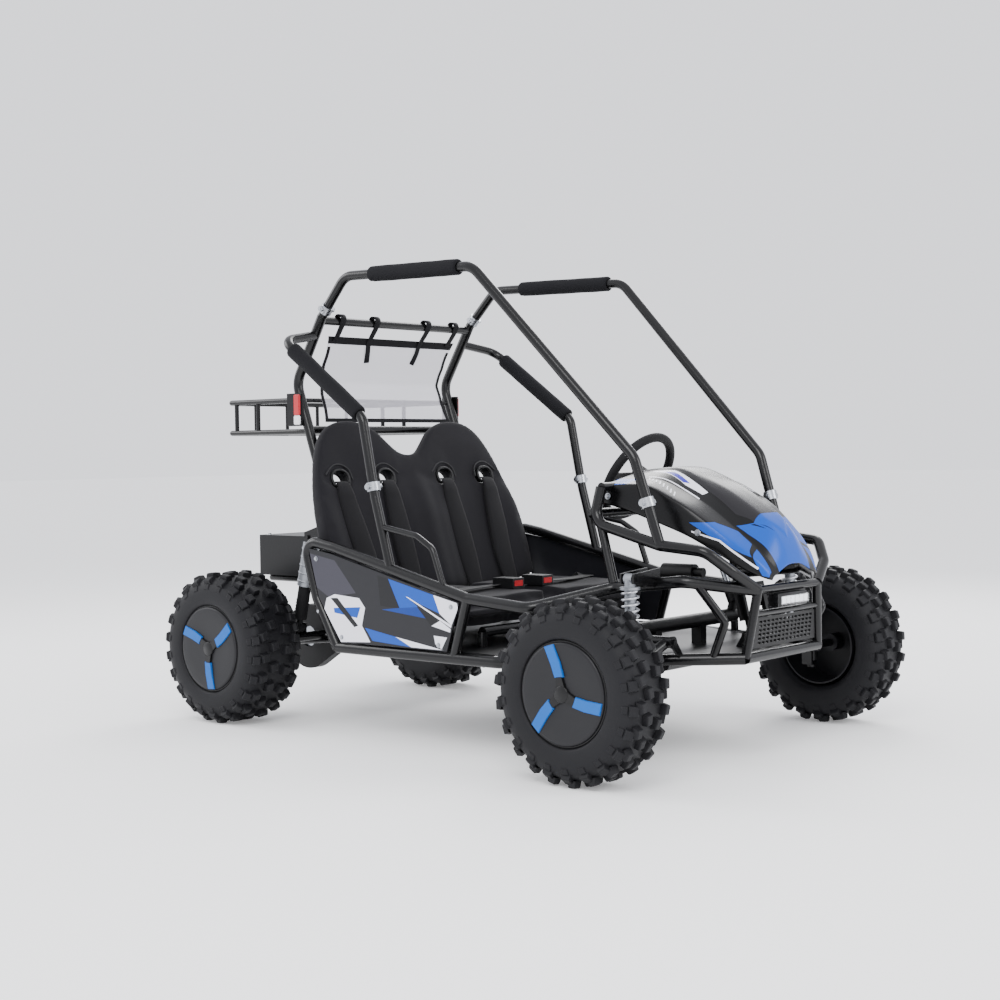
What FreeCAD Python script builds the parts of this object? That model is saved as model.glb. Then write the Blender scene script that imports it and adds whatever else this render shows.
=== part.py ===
import FreeCAD, Part
import Sketcher
import math
import os

# Two-seat off-road buggy kart. X forward, Y to the driver's left, Z up, millimetres.
# The origin is on the ground, midway between the tyres' rear edge and the cowl's tip.
# Stations along X are counted from the rear axle or from the front axle.

Vector = FreeCAD.Vector
doc = FreeCAD.newDocument("buggy")
sheet = doc.addObject("Spreadsheet::Sheet", "Sizes")

SIZES = {
    # overall
    "wheelbase": 1284, "front_track": 1063, "rear_track": 828, "tyre_od": 406, "nose_reach": 218,
    "tyre_hole": 232, "front_tyre_width": 134, "rear_tyre_width": 172, "rim_wall": 4,
    # tubes and sheet
    "hoop_tube": 25, "rail_tube": 28, "frame_tube": 25, "light_tube": 15, "cross_tube": 22,
    "upright_tube": 27, "upper_tube": 26, "hand_tube": 16,
    "hoop_bend": 60, "rail_bend": 45, "pad_od": 42, "pan_thick": 2.5, "panel_thick": 4,
    # side frames
    "side_y": 420, "rail_low_z": 228, "rail_low_front_z": 247, "taper_x": 325, "nose_y": 160,
    "nose_low_x": 184, "loop_low_x": 418, "loop_mid_x": 346, "loop_mid_z": 350, "loop_top_x": 300,
    "loop_top_z": 500, "rail_a_x": 409, "rail_a_z": 482, "rail_b_x": 611, "rail_b_z": 434,
    "rail_c_x": 421, "rail_c_z": 373, "rail_d_x": 235, "rail_d_z": 359, "strut_low_x": 466,
    # front frame, x back from the front axle is negative
    "nose_top_x": 200, "nose_top_y": 131, "nose_top_z": 400, "mid_a_x": 104, "mid_y": 262,
    "mid_a_z": 402, "mid_b_x": 86, "mid_b_z": 424, "mid_c_x": 159, "mid_c_y": 200, "mid_c_z": 411,
    "dash_x": 172, "dash_y": 250, "dash_z": 552, "dash_top_x": 158, "dash_top_y": 238,
    "dash_top_z": 634, "upper_a_x": 24, "upper_y": 262, "upper_a_z": 503, "upper_b_x": 137,
    "upper_b_z": 492, "upper_c_x": 178, "upper_c_y": 205, "upper_c_z": 446, "leg_x": 160,
    "brace_x": 166, "brace_y": 215, "brace_z": 333, "brace_end_x": 118, "lamp_z": 372,
    # uprights and roll hoops, x from the rear axle
    "foot_x": 388, "upright_y": 294, "knee_x": 144, "knee_z": 913, "joint_x": 247, "joint_z": 1085,
    "hoop_a_x": 343, "hoop_a_y": 300, "hoop_a_z": 1184, "hoop_b_x": 792, "hoop_b_y": 307,
    "hoop_b_z": 1173, "hoop_c_x": 39, "hoop_c_y": 271, "hoop_c_z": 704,
    "hoop_pad_back": 100, "hoop_pad_front": 32, "clamp_z": 600,
    # side bars and hand rails
    "bar_out_x": 236, "bar_out_z": 1016, "bar_mid_x": 520, "bar_mid_z": 811, "bar_low_x": 560,
    "bar_low_z": 613, "hand_z": 538, "hand_a_x": 700, "hand_a_z": 518, "hand_b_x": 752,
    "hand_b_z": 488, "hand_foot_x": 789,
    # rack
    "rack_back_x": 156, "rack_top_z": 866, "rack_low_z": 781, "rack_y": 290, "rack_post_x": 20,
    # seats
    "seat_top_z": 812, "seat_valley_z": 714, "seat_low_z": 335, "seat_y": 402, "seat_top_x": 252,
    "seat_lean": 0.34, "seat_thick": 40, "cushion_back_x": 432, "cushion_front_x": 822,
    "cushion_low_z": 292, "cushion_top_z": 364, "cushion_gap": 16, "seat_centre_y": 205,
    # steering
    "wheel_x": 916, "wheel_y": 200, "wheel_z": 650, "wheel_od": 262, "grip_od": 24,
    "column_lean": 31.5, "column_od": 22, "column_run": 238, "shaft_run": 195, "shaft_lean": 66,
    "rack_x": 88, "rack_z": 300, "rack_od": 34, "rack_bar_od": 20, "kingpin_y": 450,
    "arm_pivot_y": 262, "arm_pivot_z": 285, "steer_arm": 70, "kingpin_od": 12, "stub_od": 20,
    "running_gap": 0.05, "open_gap": 3, "tie_gap": 5,
    # suspension and drive
    "front_shock_y": 345, "front_shock_top": 432, "swing_x": 350, "swing_z": 232, "swing_y": 200,
    "axle_od": 25, "carrier_y": 215, "carrier_od": 66, "shock_y": 294, "shock_top_x": 195,
    "shock_top_z": 498, "shock_low_x": 135, "shock_low_z": 250, "lug_od": 25,
    "motor_x": 175, "motor_z": 245, "motor_od": 116, "motor_long": 150, "sprocket_od": 158,
    "disc_od": 150, "pinion_od": 42, "chain_y": 120,
    # box behind the seats
    "box_back_x": 60, "box_front_x": 180, "box_low_z": 385, "box_top_z": 496, "box_y": 258,
}
for row, (name, value) in enumerate(SIZES.items(), start=1):
    sheet.set("A%d" % row, str(value))
    sheet.setAlias("A%d" % row, name)
doc.recompute()


class Size:
    """A number of the sheet, or a sum of them, that knows its own expression."""

    def __init__(self, number, text):
        self.number = number
        self.text = text

    def __add__(self, other):
        other = as_size(other)
        return Size(self.number + other.number, "(%s + %s)" % (self.text, other.text))

    def __sub__(self, other):
        other = as_size(other)
        return Size(self.number - other.number, "(%s - %s)" % (self.text, other.text))

    def __mul__(self, other):
        other = as_size(other)
        return Size(self.number * other.number, "(%s * %s)" % (self.text, other.text))

    def __truediv__(self, other):
        other = as_size(other)
        return Size(self.number / other.number, "(%s / %s)" % (self.text, other.text))

    def __neg__(self):
        return Size(-self.number, "(-1 * %s)" % self.text)

    def __radd__(self, other):
        return as_size(other) + self

    def __rsub__(self, other):
        return as_size(other) - self

    def __rmul__(self, other):
        return as_size(other) * self

    def __float__(self):
        return float(self.number)


def as_size(value):
    if isinstance(value, Size):
        return value
    return Size(value, repr(value))


def get(name):
    return Size(float(sheet.get(name)), "Sizes.%s" % name)


S = {name: get(name) for name in SIZES}
TYRE_R = S["tyre_od"] / 2
REAR = -(S["wheelbase"] + S["nose_reach"] - TYRE_R) / 2
FRONT = REAR + S["wheelbase"]
SIDES = {"right": -1, "left": 1}


def point(x, y, z):
    return Vector(float(x), float(y), float(z))


def at_rear(x, y, z):
    """A point whose x is counted forward from the rear axle."""
    return point(REAR + x, y, z)


def at_front(x, y, z):
    """A point whose x is counted forward from the front axle."""
    return point(FRONT + x, y, z)


def between(a, b, share):
    return a + (b - a) * share


def along_x(a, b, x):
    """The point of the line a-b at one x."""
    return between(a, b, (float(x) - a.x) / (b.x - a.x))


def along_z(a, b, z):
    """The point of the line a-b at one z."""
    return between(a, b, (float(z) - a.z) / (b.z - a.z))


# ---------------------------------------------------------------- shapes

def rod(a, b, diameter):
    return Part.makeCylinder(float(diameter) / 2, (b - a).Length, a, b - a)


def bent_tube(points, diameter, bend):
    """A bar through the points, with a tangent arc at each of its corners."""
    edges = []
    start = points[0]
    for before, corner, after in zip(points, points[1:], points[2:]):
        back = (before - corner).normalize()
        ahead = (after - corner).normalize()
        turn = math.pi - back.getAngle(ahead)
        room = 0.45 * min((before - corner).Length, (after - corner).Length)
        cut = min(float(bend) * math.tan(turn / 2), room)
        radius = cut / math.tan(turn / 2)
        enter = corner + back * cut
        leave = corner + ahead * cut
        middle_way = (back + ahead).normalize()
        middle = corner + middle_way * (radius / math.cos(turn / 2) - radius)
        edges.append(Part.LineSegment(start, enter).toShape())
        edges.append(Part.Arc(enter, middle, leave).toShape())
        start = leave
    edges.append(Part.LineSegment(start, points[-1]).toShape())
    path = Part.Wire(edges)
    direction = points[1] - points[0]
    section = Part.Wire(Part.makeCircle(float(diameter) / 2, points[0], direction))
    return path.makePipeShell([section], True, False)


def slab(corners, thickness):
    """A flat plate: a polygon pushed square to its own plane, half each way."""
    normal = (corners[1] - corners[0]).cross(corners[2] - corners[0]).normalize()
    half = normal * (float(thickness) / 2)
    wire = Part.makePolygon([corner - half for corner in corners + corners[:1]])
    return Part.Face(wire).extrude(half * 2)


def brick(low, high):
    size = high - low
    return Part.makeBox(size.x, size.y, size.z, low)


def mirrored(shape):
    return shape.mirror(Vector(0, 0, 0), Vector(0, 1, 0))


def both_sides(shape):
    return Part.makeCompound([shape, mirrored(shape)])


def joined(shapes):
    """Welded pieces as one solid."""
    whole = shapes[0].multiFuse(shapes[1:]) if len(shapes) > 1 else shapes[0]
    return whole.removeSplitter()


NODES = []


def add_shape(label, shape, notch=()):
    """A piece of the kart, notched round the pieces that it is fixed to."""
    for other in notch:
        shape = shape.cut(other.Shape)
    solids = shape.Solids
    node = doc.addObject("Part::Feature", label)
    node.Shape = solids[0] if len(solids) == 1 else Part.makeCompound(solids)
    node.Label = label
    NODES.append(node)
    return node


def bind(thing, **sizes):
    for name, size in sizes.items():
        thing.setExpression(name.replace("__", "."), as_size(size).text)


def put(thing, x, y, z, rotation=None):
    """Places a piece by expressions, after its rotation is set."""
    if rotation is not None:
        thing.Placement = FreeCAD.Placement(Vector(0, 0, 0), rotation)
    bind(thing, Placement__Base__x=x, Placement__Base__y=y, Placement__Base__z=z)


def turn(axis, degrees):
    return FreeCAD.Rotation(axis, degrees)


X_AXIS = Vector(1, 0, 0)
Y_AXIS = Vector(0, 1, 0)
Z_AXIS = Vector(0, 0, 1)


def body_plane(body, role):
    return [plane for plane in body.Origin.OriginFeatures if plane.Role == role][0]


def outline(body, role, corners):
    """A closed sketch whose corners are bound to the sheet."""
    sketch = body.newObject("Sketcher::SketchObject", body.Name + "_outline")
    sketch.AttachmentSupport = [(body_plane(body, role), "")]
    sketch.MapMode = "FlatFace"
    corners = [(as_size(x), as_size(y)) for x, y in corners]
    spots = [Vector(x.number, y.number, 0) for x, y in corners]
    count = len(spots)
    for index in range(count):
        sketch.addGeometry(Part.LineSegment(spots[index], spots[(index + 1) % count]), False)
    for index in range(count):
        sketch.addConstraint(Sketcher.Constraint("Coincident", index, 2, (index + 1) % count, 1))
    for index, (x, y) in enumerate(corners):
        for kind, size, axis in (("DistanceX", x, -2), ("DistanceY", y, -1)):
            if abs(size.number) < 1e-9:
                sketch.addConstraint(Sketcher.Constraint("PointOnObject", index, 1, axis))
                continue
            rule = Sketcher.Constraint(kind, -1, 1, index, 1, size.number)
            place = sketch.addConstraint(rule)
            sketch.setExpression("Constraints[%d]" % place, size.text)
    return sketch


def new_body(label):
    body = doc.addObject("PartDesign::Body", label)
    body.Label = label
    return body


def turned(label, profile, keep=True):
    """A body turned about its own Z axis: the profile is (radius, height) corners."""
    body = new_body(label)
    sketch = outline(body, "XZ_Plane", profile)
    revolution = body.newObject("PartDesign::Revolution", label + "_turned")
    revolution.Profile = sketch
    revolution.ReferenceAxis = (sketch, ["V_Axis"])
    revolution.Angle = 360
    if keep:
        NODES.append(body)
    return body


def padded_plate(label, role, corners, thickness, keep=True):
    """A body cut from plate: the outline padded half each way."""
    body = new_body(label)
    sketch = outline(body, role, corners)
    pad = body.newObject("PartDesign::Pad", label + "_pad")
    pad.Profile = sketch
    pad.Midplane = True
    bind(pad, Length=thickness)
    if keep:
        NODES.append(body)
    return body


def group(label, pieces, kind="Part::Compound"):
    """One node that holds several finished pieces."""
    node = doc.addObject(kind, label)
    node.Label = label
    if kind == "Part::Compound":
        node.Links = pieces
    else:
        node.Shapes = pieces
    NODES.append(node)
    return node


# ---------------------------------------------------------------- lower frame and floor

RAIL = S["rail_tube"]
TUBE = S["frame_tube"]
CROSS = S["cross_tube"]
UPRIGHT = S["upright_tube"]
LOW_Z = S["rail_low_z"]

loop_foot = at_rear(S["loop_low_x"], -S["side_y"], LOW_Z)
taper_start = at_front(-S["taper_x"], -S["side_y"], LOW_Z)
nose_low = at_front(S["nose_low_x"], -S["nose_y"], S["rail_low_front_z"])
nose_top = at_front(S["nose_top_x"], -S["nose_top_y"], S["nose_top_z"])
loop_top = at_rear(S["loop_top_x"], -S["side_y"], S["loop_top_z"])
rail_a = at_rear(S["rail_a_x"], -S["side_y"], S["rail_a_z"])
rail_b = at_rear(S["rail_b_x"], -S["side_y"], S["rail_b_z"])
rail_c = at_front(-S["rail_c_x"], -S["side_y"], S["rail_c_z"])
rail_d = at_front(-S["rail_d_x"], -S["side_y"], S["rail_d_z"])
mid_a = at_front(-S["mid_a_x"], -S["mid_y"], S["mid_a_z"])
mid_b = at_front(S["mid_b_x"], -S["mid_y"], S["mid_b_z"])
mid_c = at_front(S["mid_c_x"], -S["mid_c_y"], S["mid_c_z"])


def low_rail_at(x):
    """The centre of the right lower rail at one x."""
    if float(x) < taper_start.x:
        return point(x, -S["side_y"], LOW_Z)
    return along_x(taper_start, nose_low, x)


def crossing(spot, diameter=TUBE):
    """A tube from a right-hand point straight across to its mirror point."""
    return rod(spot, Vector(spot.x, -spot.y, spot.z), diameter)


loop_mid = at_rear(S["loop_mid_x"], -S["side_y"], S["loop_mid_z"])
lower_rail = bent_tube([loop_foot, taper_start, nose_low], RAIL, S["rail_bend"])
rear_cross = low_rail_at(REAR + S["loop_low_x"] - 8)
seat_cross_x = [REAR + S["cushion_back_x"] + 45, FRONT - S["rail_c_x"] - 60]
cross_stations = [FRONT - 230, FRONT + 20]
floor_tubes = [lower_rail, mirrored(lower_rail), crossing(rear_cross), crossing(nose_low)]
for station in cross_stations:
    rail_spot = low_rail_at(station)
    floor_tubes.append(crossing(Vector(rail_spot.x, rail_spot.y, float(LOW_Z))))
seat_tube_z = S["cushion_low_z"] - TUBE / 2
for station in seat_cross_x:
    shelf = point(station, -S["seat_centre_y"] - 95, seat_tube_z)
    foot = point(station, shelf.y, LOW_Z)
    floor_tubes += [crossing(low_rail_at(station)), crossing(shelf)]
    floor_tubes += [rod(foot, shelf, TUBE), mirrored(rod(foot, shelf, TUBE))]

# Ears for the front arms and for the swing arm stand on the lower frame.
ARM_PIVOT = at_front(0, -S["arm_pivot_y"], S["arm_pivot_z"])
EAR = 6
EAR_R = 14
ARM_EAR_BACK = 62
ARM_EAR_AHEAD = 56


def eared_plate(foot_a, foot_b, centre, axis, thick, bore):
    """A bracket ear: a plate with a rounded end round a bore."""
    half = axis * (thick / 2)
    disc = Part.makeCylinder(EAR_R, thick, centre - half, axis)
    across = axis.cross(foot_b - foot_a)
    across.normalize()
    reach = (foot_b - foot_a).normalize() * EAR_R
    plate = slab([foot_a, foot_b, centre + reach, centre - reach], thick)
    hole = Part.makeCylinder(float(bore) / 2, thick * 3, centre - half * 3, axis)
    return plate.fuse(disc).cut(hole)


pin_bore = S["kingpin_od"] + 2 * S["running_gap"]
for shift in (-ARM_EAR_BACK, ARM_EAR_AHEAD):
    centre = ARM_PIVOT + Vector(shift, 0, 0)
    rail_spot = low_rail_at(centre.x)
    foot_a = Vector(centre.x, rail_spot.y - 9, rail_spot.z)
    foot_b = Vector(centre.x, rail_spot.y + 9, rail_spot.z)
    ear = eared_plate(foot_a, foot_b, centre, X_AXIS, EAR, pin_bore)
    floor_tubes += [ear, mirrored(ear)]
SWING_PIVOT = at_rear(S["swing_x"], 0, S["swing_z"])
SWING_PIN = 14
for y in (-S["swing_y"], S["swing_y"]):
    centre = Vector(SWING_PIVOT.x, float(y), SWING_PIVOT.z)
    foot_a = Vector(rear_cross.x, centre.y, rear_cross.z - 12)
    foot_b = Vector(rear_cross.x, centre.y, rear_cross.z + 12)
    bore = SWING_PIN + 2 * S["running_gap"]
    floor_tubes.append(eared_plate(foot_a, foot_b, centre, Y_AXIS, 8, bore))
PEDALS = {"brake": 160, "throttle": 72}
PEDAL_X = FRONT + 55
PEDAL_Z = 268
PEDAL_PIN = 10
pedal_cross = point(PEDAL_X - 35, 0, LOW_Z)
for y in PEDALS.values():
    for shift in (-21, 21):
        centre = point(PEDAL_X, y + shift, PEDAL_Z)
        foot_a = Vector(pedal_cross.x - 4, centre.y, pedal_cross.z)
        foot_b = Vector(pedal_cross.x + 22, centre.y, pedal_cross.z)
        bore = PEDAL_PIN + 2 * S["running_gap"]
        floor_tubes.append(eared_plate(foot_a, foot_b, centre, Y_AXIS, 5, bore))
lower_frame = add_shape("lower_frame", joined(floor_tubes))

pan_z = LOW_Z + TUBE / 2 + S["pan_thick"] / 2
pan_edge = S["side_y"] - RAIL / 2 - 1
pan_corners = [(REAR + S["loop_low_x"] + 12, -pan_edge), (FRONT - S["taper_x"] - 4, -pan_edge),
               (FRONT + S["nose_low_x"] - 20, -(S["nose_y"] - 8)),
               (FRONT + S["nose_low_x"] - 20, S["nose_y"] - 8),
               (FRONT - S["taper_x"] - 4, pan_edge), (REAR + S["loop_low_x"] + 12, pan_edge)]


def cut_by(label, base, tools):
    """A piece with its neighbours' space cut out of it."""
    tool = tools[0]
    if len(tools) > 1:
        tool = doc.addObject("Part::Compound", label + "_room")
        tool.Links = tools
    node = doc.addObject("Part::Cut", label)
    node.Base = base
    node.Tool = tool
    node.Label = label
    NODES.append(node)
    return node


pan_sheet = padded_plate("pan_sheet", "XY_Plane", pan_corners, S["pan_thick"], keep=False)
put(pan_sheet, 0, 0, pan_z)
doc.recompute()
cut_by("floor_pan", pan_sheet, [lower_frame])

# ---------------------------------------------------------------- side frames and panels

strut_foot = low_rail_at(REAR + S["strut_low_x"] + 352)
side_rail = bent_tube([loop_foot, loop_mid, loop_top, rail_a, rail_b, rail_c,
                       rail_d, mid_a, mid_b, mid_c, nose_top], RAIL, S["rail_bend"])
bar_low = at_rear(S["bar_low_x"], -S["side_y"], S["bar_low_z"])
hand_start = along_z(bar_low, rail_b, S["hand_z"])
hand_a = at_rear(S["hand_a_x"], -S["side_y"], S["hand_a_z"])
hand_b = at_rear(S["hand_b_x"], -S["side_y"], S["hand_b_z"])
hand_foot = along_x(rail_b, rail_c, REAR + S["hand_foot_x"])
hand_rail = bent_tube([hand_start, hand_a, hand_b, hand_foot], S["hand_tube"], 30)
side_bar_leg = rod(rail_b, bar_low, TUBE)
strut = rod(rail_c, strut_foot, TUBE)
SHOCK_PIN = 10
leg_head = along_x(rail_d, mid_a, FRONT - S["leg_x"])
leg_foot = low_rail_at(leg_head.x)
frame_leg = rod(leg_head, leg_foot, 20)
brace_top = along_x(mid_b, mid_c, mid_b.x + 22)
brace_mid = at_front(S["brace_x"], -S["brace_y"], S["brace_z"])
brace_foot = low_rail_at(FRONT + S["brace_end_x"])
brace = bent_tube([brace_top, brace_mid, brace_foot], 20, 12)
shock_tower_z = S["front_shock_top"]
front_eye = at_front(0, -S["front_shock_y"], shock_tower_z)
tower = [slab([Vector(front_eye.x + shift, mid_a.y + 6, front_eye.z + 20),
               Vector(front_eye.x + shift, mid_a.y + 6, front_eye.z - 26),
               Vector(front_eye.x + shift, front_eye.y - 13, front_eye.z - 10),
               Vector(front_eye.x + shift, front_eye.y - 13, front_eye.z + 12)], 5)
         for shift in (-17, 17)]
tower_bolt = rod(front_eye + Vector(-22, 0, 0), front_eye + Vector(22, 0, 0), SHOCK_PIN)
side_tubes = joined([side_rail, strut, hand_rail.cut(side_bar_leg), frame_leg, brace]
                    + tower + [tower_bolt])
side_frames = add_shape("side_frames", both_sides(side_tubes), [lower_frame])

# Each panel stands just inside its rails and its rear edge follows the bent end of the frame.
panel_y = S["side_y"] + RAIL / 2 - S["panel_thick"] / 2 - 3
panel_corners = [(loop_foot.x + 24, loop_foot.z + 16), (strut_foot.x - 14, strut_foot.z + 16),
                 (rail_c.x - 18, rail_c.z - 10), (rail_b.x, rail_b.z - 16),
                 (rail_a.x, rail_a.z - 16), (loop_top.x + 28, loop_top.z - 22),
                 (loop_mid.x + 17, loop_mid.z + 3)]
panels = []
for side, sign in SIDES.items():
    sheet_body = padded_plate("panel_sheet_" + side, "XZ_Plane", panel_corners, S["panel_thick"],
                              keep=False)
    put(sheet_body, 0, sign * panel_y, 0)
    panels.append(sheet_body)
doc.recompute()
pair = doc.addObject("Part::Compound", "panel_pair")
pair.Links = panels
cut_by("side_panels", pair, [side_frames])

# ---------------------------------------------------------------- uprights behind the seats

foot = at_rear(S["foot_x"], -S["upright_y"], LOW_Z)
knee = at_rear(S["knee_x"], -S["upright_y"], S["knee_z"])
joint = at_rear(S["joint_x"], -S["upright_y"], S["joint_z"])
upright = bent_tube([foot, knee, joint], UPRIGHT, S["hoop_bend"])


def upright_at(z):
    """The centre of the right upright at one height."""
    if float(z) > knee.z:
        return along_z(knee, joint, z)
    return along_z(foot, knee, z)


shelf_cross = upright_at(S["box_low_z"] - 10)
box_shelf_end = at_rear(-S["box_back_x"] + 5, -S["box_y"] + 40, shelf_cross.z)
box_shelf = rod(Vector(shelf_cross.x, box_shelf_end.y, shelf_cross.z), box_shelf_end, 20)
shock_eye = at_rear(S["shock_top_x"], -S["shock_y"], S["shock_top_z"])
gusset_parts = []
for shift in (-14, 14):
    near = upright_at(shock_eye.z + 42)
    low = upright_at(shock_eye.z - 34)
    tip = shock_eye + Vector(-14, 0, 0)
    corners = [Vector(near.x, shock_eye.y + shift, near.z), Vector(low.x, shock_eye.y + shift, low.z),
               Vector(tip.x, shock_eye.y + shift, tip.z - 13), Vector(tip.x, shock_eye.y + shift, tip.z + 13)]
    gusset_parts.append(slab(corners, 5))
shock_bolt = rod(shock_eye + Vector(0, -22, 0), shock_eye + Vector(0, 22, 0), SHOCK_PIN)
upright_side = joined([upright, box_shelf] + gusset_parts + [shock_bolt])
top_cross = crossing(joint + Vector(-6, 0, -10), CROSS)
back_cross = crossing(upright_at(S["rack_low_z"] + 4), CROSS)
upright_tubes = [upright_side, mirrored(upright_side), top_cross, back_cross, crossing(shelf_cross, CROSS)]
rear_uprights = add_shape("rear_uprights", joined(upright_tubes), [lower_frame])

# ---------------------------------------------------------------- roll hoops, side bars, pads

hoop_points = [joint, at_rear(S["hoop_a_x"], -S["hoop_a_y"], S["hoop_a_z"]),
               at_rear(S["hoop_b_x"], -S["hoop_b_y"], S["hoop_b_z"]),
               at_front(-S["hoop_c_x"], -S["hoop_c_y"], S["hoop_c_z"])]
upper_a = at_front(S["upper_a_x"], -S["upper_y"], S["upper_a_z"])
hoop_points.append(upper_a)
hoop_shape = bent_tube(hoop_points, S["hoop_tube"], S["hoop_bend"])
bar_points = [upright_at(S["bar_out_z"] + 20), at_rear(S["bar_out_x"], -S["side_y"] - 1, S["bar_out_z"]),
              at_rear(S["bar_mid_x"], -S["side_y"], S["bar_mid_z"]), bar_low, rail_b]
bar_shape = bent_tube(bar_points, TUBE, S["rail_bend"])

# The dash hoop and the upper front rails are one bent tube on each side.
dash = at_front(-S["dash_x"], -S["dash_y"], S["dash_z"])
dash_top = at_front(-S["dash_top_x"], -S["dash_top_y"], S["dash_top_z"])
upper_b = at_front(S["upper_b_x"], -S["upper_y"] + 12, S["upper_b_z"])
upper_c = at_front(S["upper_c_x"], -S["upper_c_y"], S["upper_c_z"])
upper_rail = bent_tube([dash_top, dash, upper_a, upper_b, upper_c, nose_top], S["upper_tube"], 40)
pillar_top = along_x(dash, upper_a, dash.x + 22)
pillar = rod(pillar_top, mid_a, CROSS)
post = rod(nose_top, nose_low, 22)
front_side = [upper_rail, pillar, post]

COLUMN_WAY = Vector(math.cos(math.radians(S["column_lean"].number)), 0,
                    -math.sin(math.radians(S["column_lean"].number)))
WHEEL_HUB = at_rear(S["wheel_x"], S["wheel_y"], S["wheel_z"])
BUSH_AT = WHEEL_HUB + COLUMN_WAY * (float(S["column_run"]) - 40)
square_off = Vector(math.sin(math.radians(S["column_lean"].number)), 0,
                    math.cos(math.radians(S["column_lean"].number)))
bush_cross = BUSH_AT + square_off * 31
bush_bore = float(S["column_od"]) + 2 * S["running_gap"].number
bush = rod(BUSH_AT - COLUMN_WAY * 15, BUSH_AT + COLUMN_WAY * 15, float(S["column_od"]) + 16)
leg_at = along_z(dash, dash_top, bush_cross.z)
dash_cross = rod(Vector(bush_cross.x, leg_at.y, bush_cross.z),
                 Vector(bush_cross.x, -leg_at.y, bush_cross.z), 22)
leg_link = rod(Vector(bush_cross.x, leg_at.y, bush_cross.z), leg_at, 22)
bush_web = slab([BUSH_AT + square_off * 12 + COLUMN_WAY * 12, BUSH_AT + square_off * 12 - COLUMN_WAY * 12,
                 bush_cross - COLUMN_WAY * 6, bush_cross + COLUMN_WAY * 6], 16)
bush_hole = rod(BUSH_AT - COLUMN_WAY * 40, BUSH_AT + COLUMN_WAY * 40, bush_bore)
front_tubes = []
for piece in front_side:
    front_tubes += [piece, mirrored(piece)]
front_tubes += [crossing(dash_top, CROSS), dash_cross, leg_link, mirrored(leg_link), bush, bush_web]
front_tubes += [crossing(nose_top, 20), crossing(along_z(nose_top, nose_low, S["lamp_z"] - 26), 14)]
front_frame = add_shape("front_frame", joined(front_tubes).cut(bush_hole), [lower_frame, side_frames])

hoops = {}
for side, sign in SIDES.items():
    whole = hoop_shape if sign < 0 else mirrored(hoop_shape)
    hoops[side] = add_shape("roll_hoop_" + side, whole, [rear_uprights, front_frame])
side_bars = add_shape("side_bars", both_sides(bar_shape), [side_frames, rear_uprights])


def pad_on(a, b, outer, inner):
    return rod(a, b, outer).cut(rod(a - (b - a), b + (b - a), inner))


top_way = (hoop_points[2] - hoop_points[1]).normalize()
hoop_pad = pad_on(hoop_points[1] + top_way * float(S["hoop_pad_back"]),
                  hoop_points[2] - top_way * float(S["hoop_pad_front"] + 12), S["pad_od"], S["hoop_tube"])
bar_way = (bar_points[2] - bar_points[1]).normalize()
bar_pad = pad_on(bar_points[1] + bar_way * 42, bar_points[2] - bar_way * 14, S["pad_od"], TUBE)
add_shape("bar_pads", Part.makeCompound([hoop_pad, mirrored(hoop_pad), bar_pad,
                                          mirrored(bar_pad)]), [side_bars] + list(hoops.values()))

# Clamps: a split collar and its bolt at each place where a hoop or a bar is bolted on.
CLAMP_GAP = 0.2


def collar(centre, way, across, tube):
    ring = rod(centre - way * 11, centre + way * 11, tube + 9)
    hole = rod(centre - way * 40, centre + way * 40, tube + 2 * CLAMP_GAP)
    bolt = rod(centre - across * 25, centre + across * 25, 8)
    heads = [rod(centre + across * 14, centre + across * 24, 15),
             rod(centre - across * 14, centre - across * 24, 15)]
    return joined([ring, bolt] + heads).cut(hole)


clamp_spots = []
low_way = (upper_a - hoop_points[3]).normalize()
clamp_spots.append((along_z(hoop_points[3], upper_a, S["clamp_z"]), low_way, S["hoop_tube"]))
clamp_spots.append((along_z(bar_points[2], bar_low, S["bar_low_z"] + 24),
                    (bar_low - bar_points[2]).normalize(), TUBE))
joint_way = (hoop_points[1] - joint).normalize()
clamp_spots.append((joint + joint_way * 26, joint_way, S["hoop_tube"]))
collars = []
for centre, way, tube in clamp_spots:
    one = collar(centre, way, Y_AXIS, tube)
    collars += [one, mirrored(one)]
tube_clamps = add_shape("tube_clamps", Part.makeCompound(collars))

# ---------------------------------------------------------------- luggage rack and tail lamps

LIGHT = S["light_tube"]


def ring_of(z, y):
    front = upright_at(z)
    back_x = REAR - S["rack_back_x"]
    corner_a = point(front.x, -y, z)
    corner_b = point(back_x + 24, -y, z)
    corner_c = point(back_x, -y + 34, z)
    side = bent_tube([corner_a, corner_b, corner_c, Vector(corner_c.x, 0, corner_c.z)], LIGHT, 10)
    return [side, mirrored(side)]


rack_y = S["rack_y"]
rack_parts = ring_of(S["rack_top_z"], rack_y) + ring_of(S["rack_low_z"], rack_y)
for x in (REAR - S["rack_post_x"], REAR - S["rack_post_x"] - 90):
    post_foot = point(x, -rack_y, S["rack_low_z"])
    post_head = point(x, -rack_y, S["rack_top_z"])
    rack_parts += [rod(post_foot, post_head, 12), mirrored(rod(post_foot, post_head, 12))]
for y in (-180, -60, 60, 180):
    slat_back = point(REAR - S["rack_back_x"], y, S["rack_low_z"])
    slat_front = Vector(upright_at(S["rack_low_z"] + 4).x, y, slat_back.z)
    rack_parts.append(rod(slat_back, slat_front, 12))
    rack_parts.append(rod(slat_back, Vector(slat_back.x, y, float(S["rack_top_z"])), 10))
front_top = Vector(upright_at(S["rack_top_z"]).x, -rack_y.number, S["rack_top_z"].number)
rack_parts.append(crossing(front_top, 12))
lamp_spot = upright_at(S["rack_top_z"] - 20)
plate_y = S["upright_y"].number + UPRIGHT.number / 2
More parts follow.
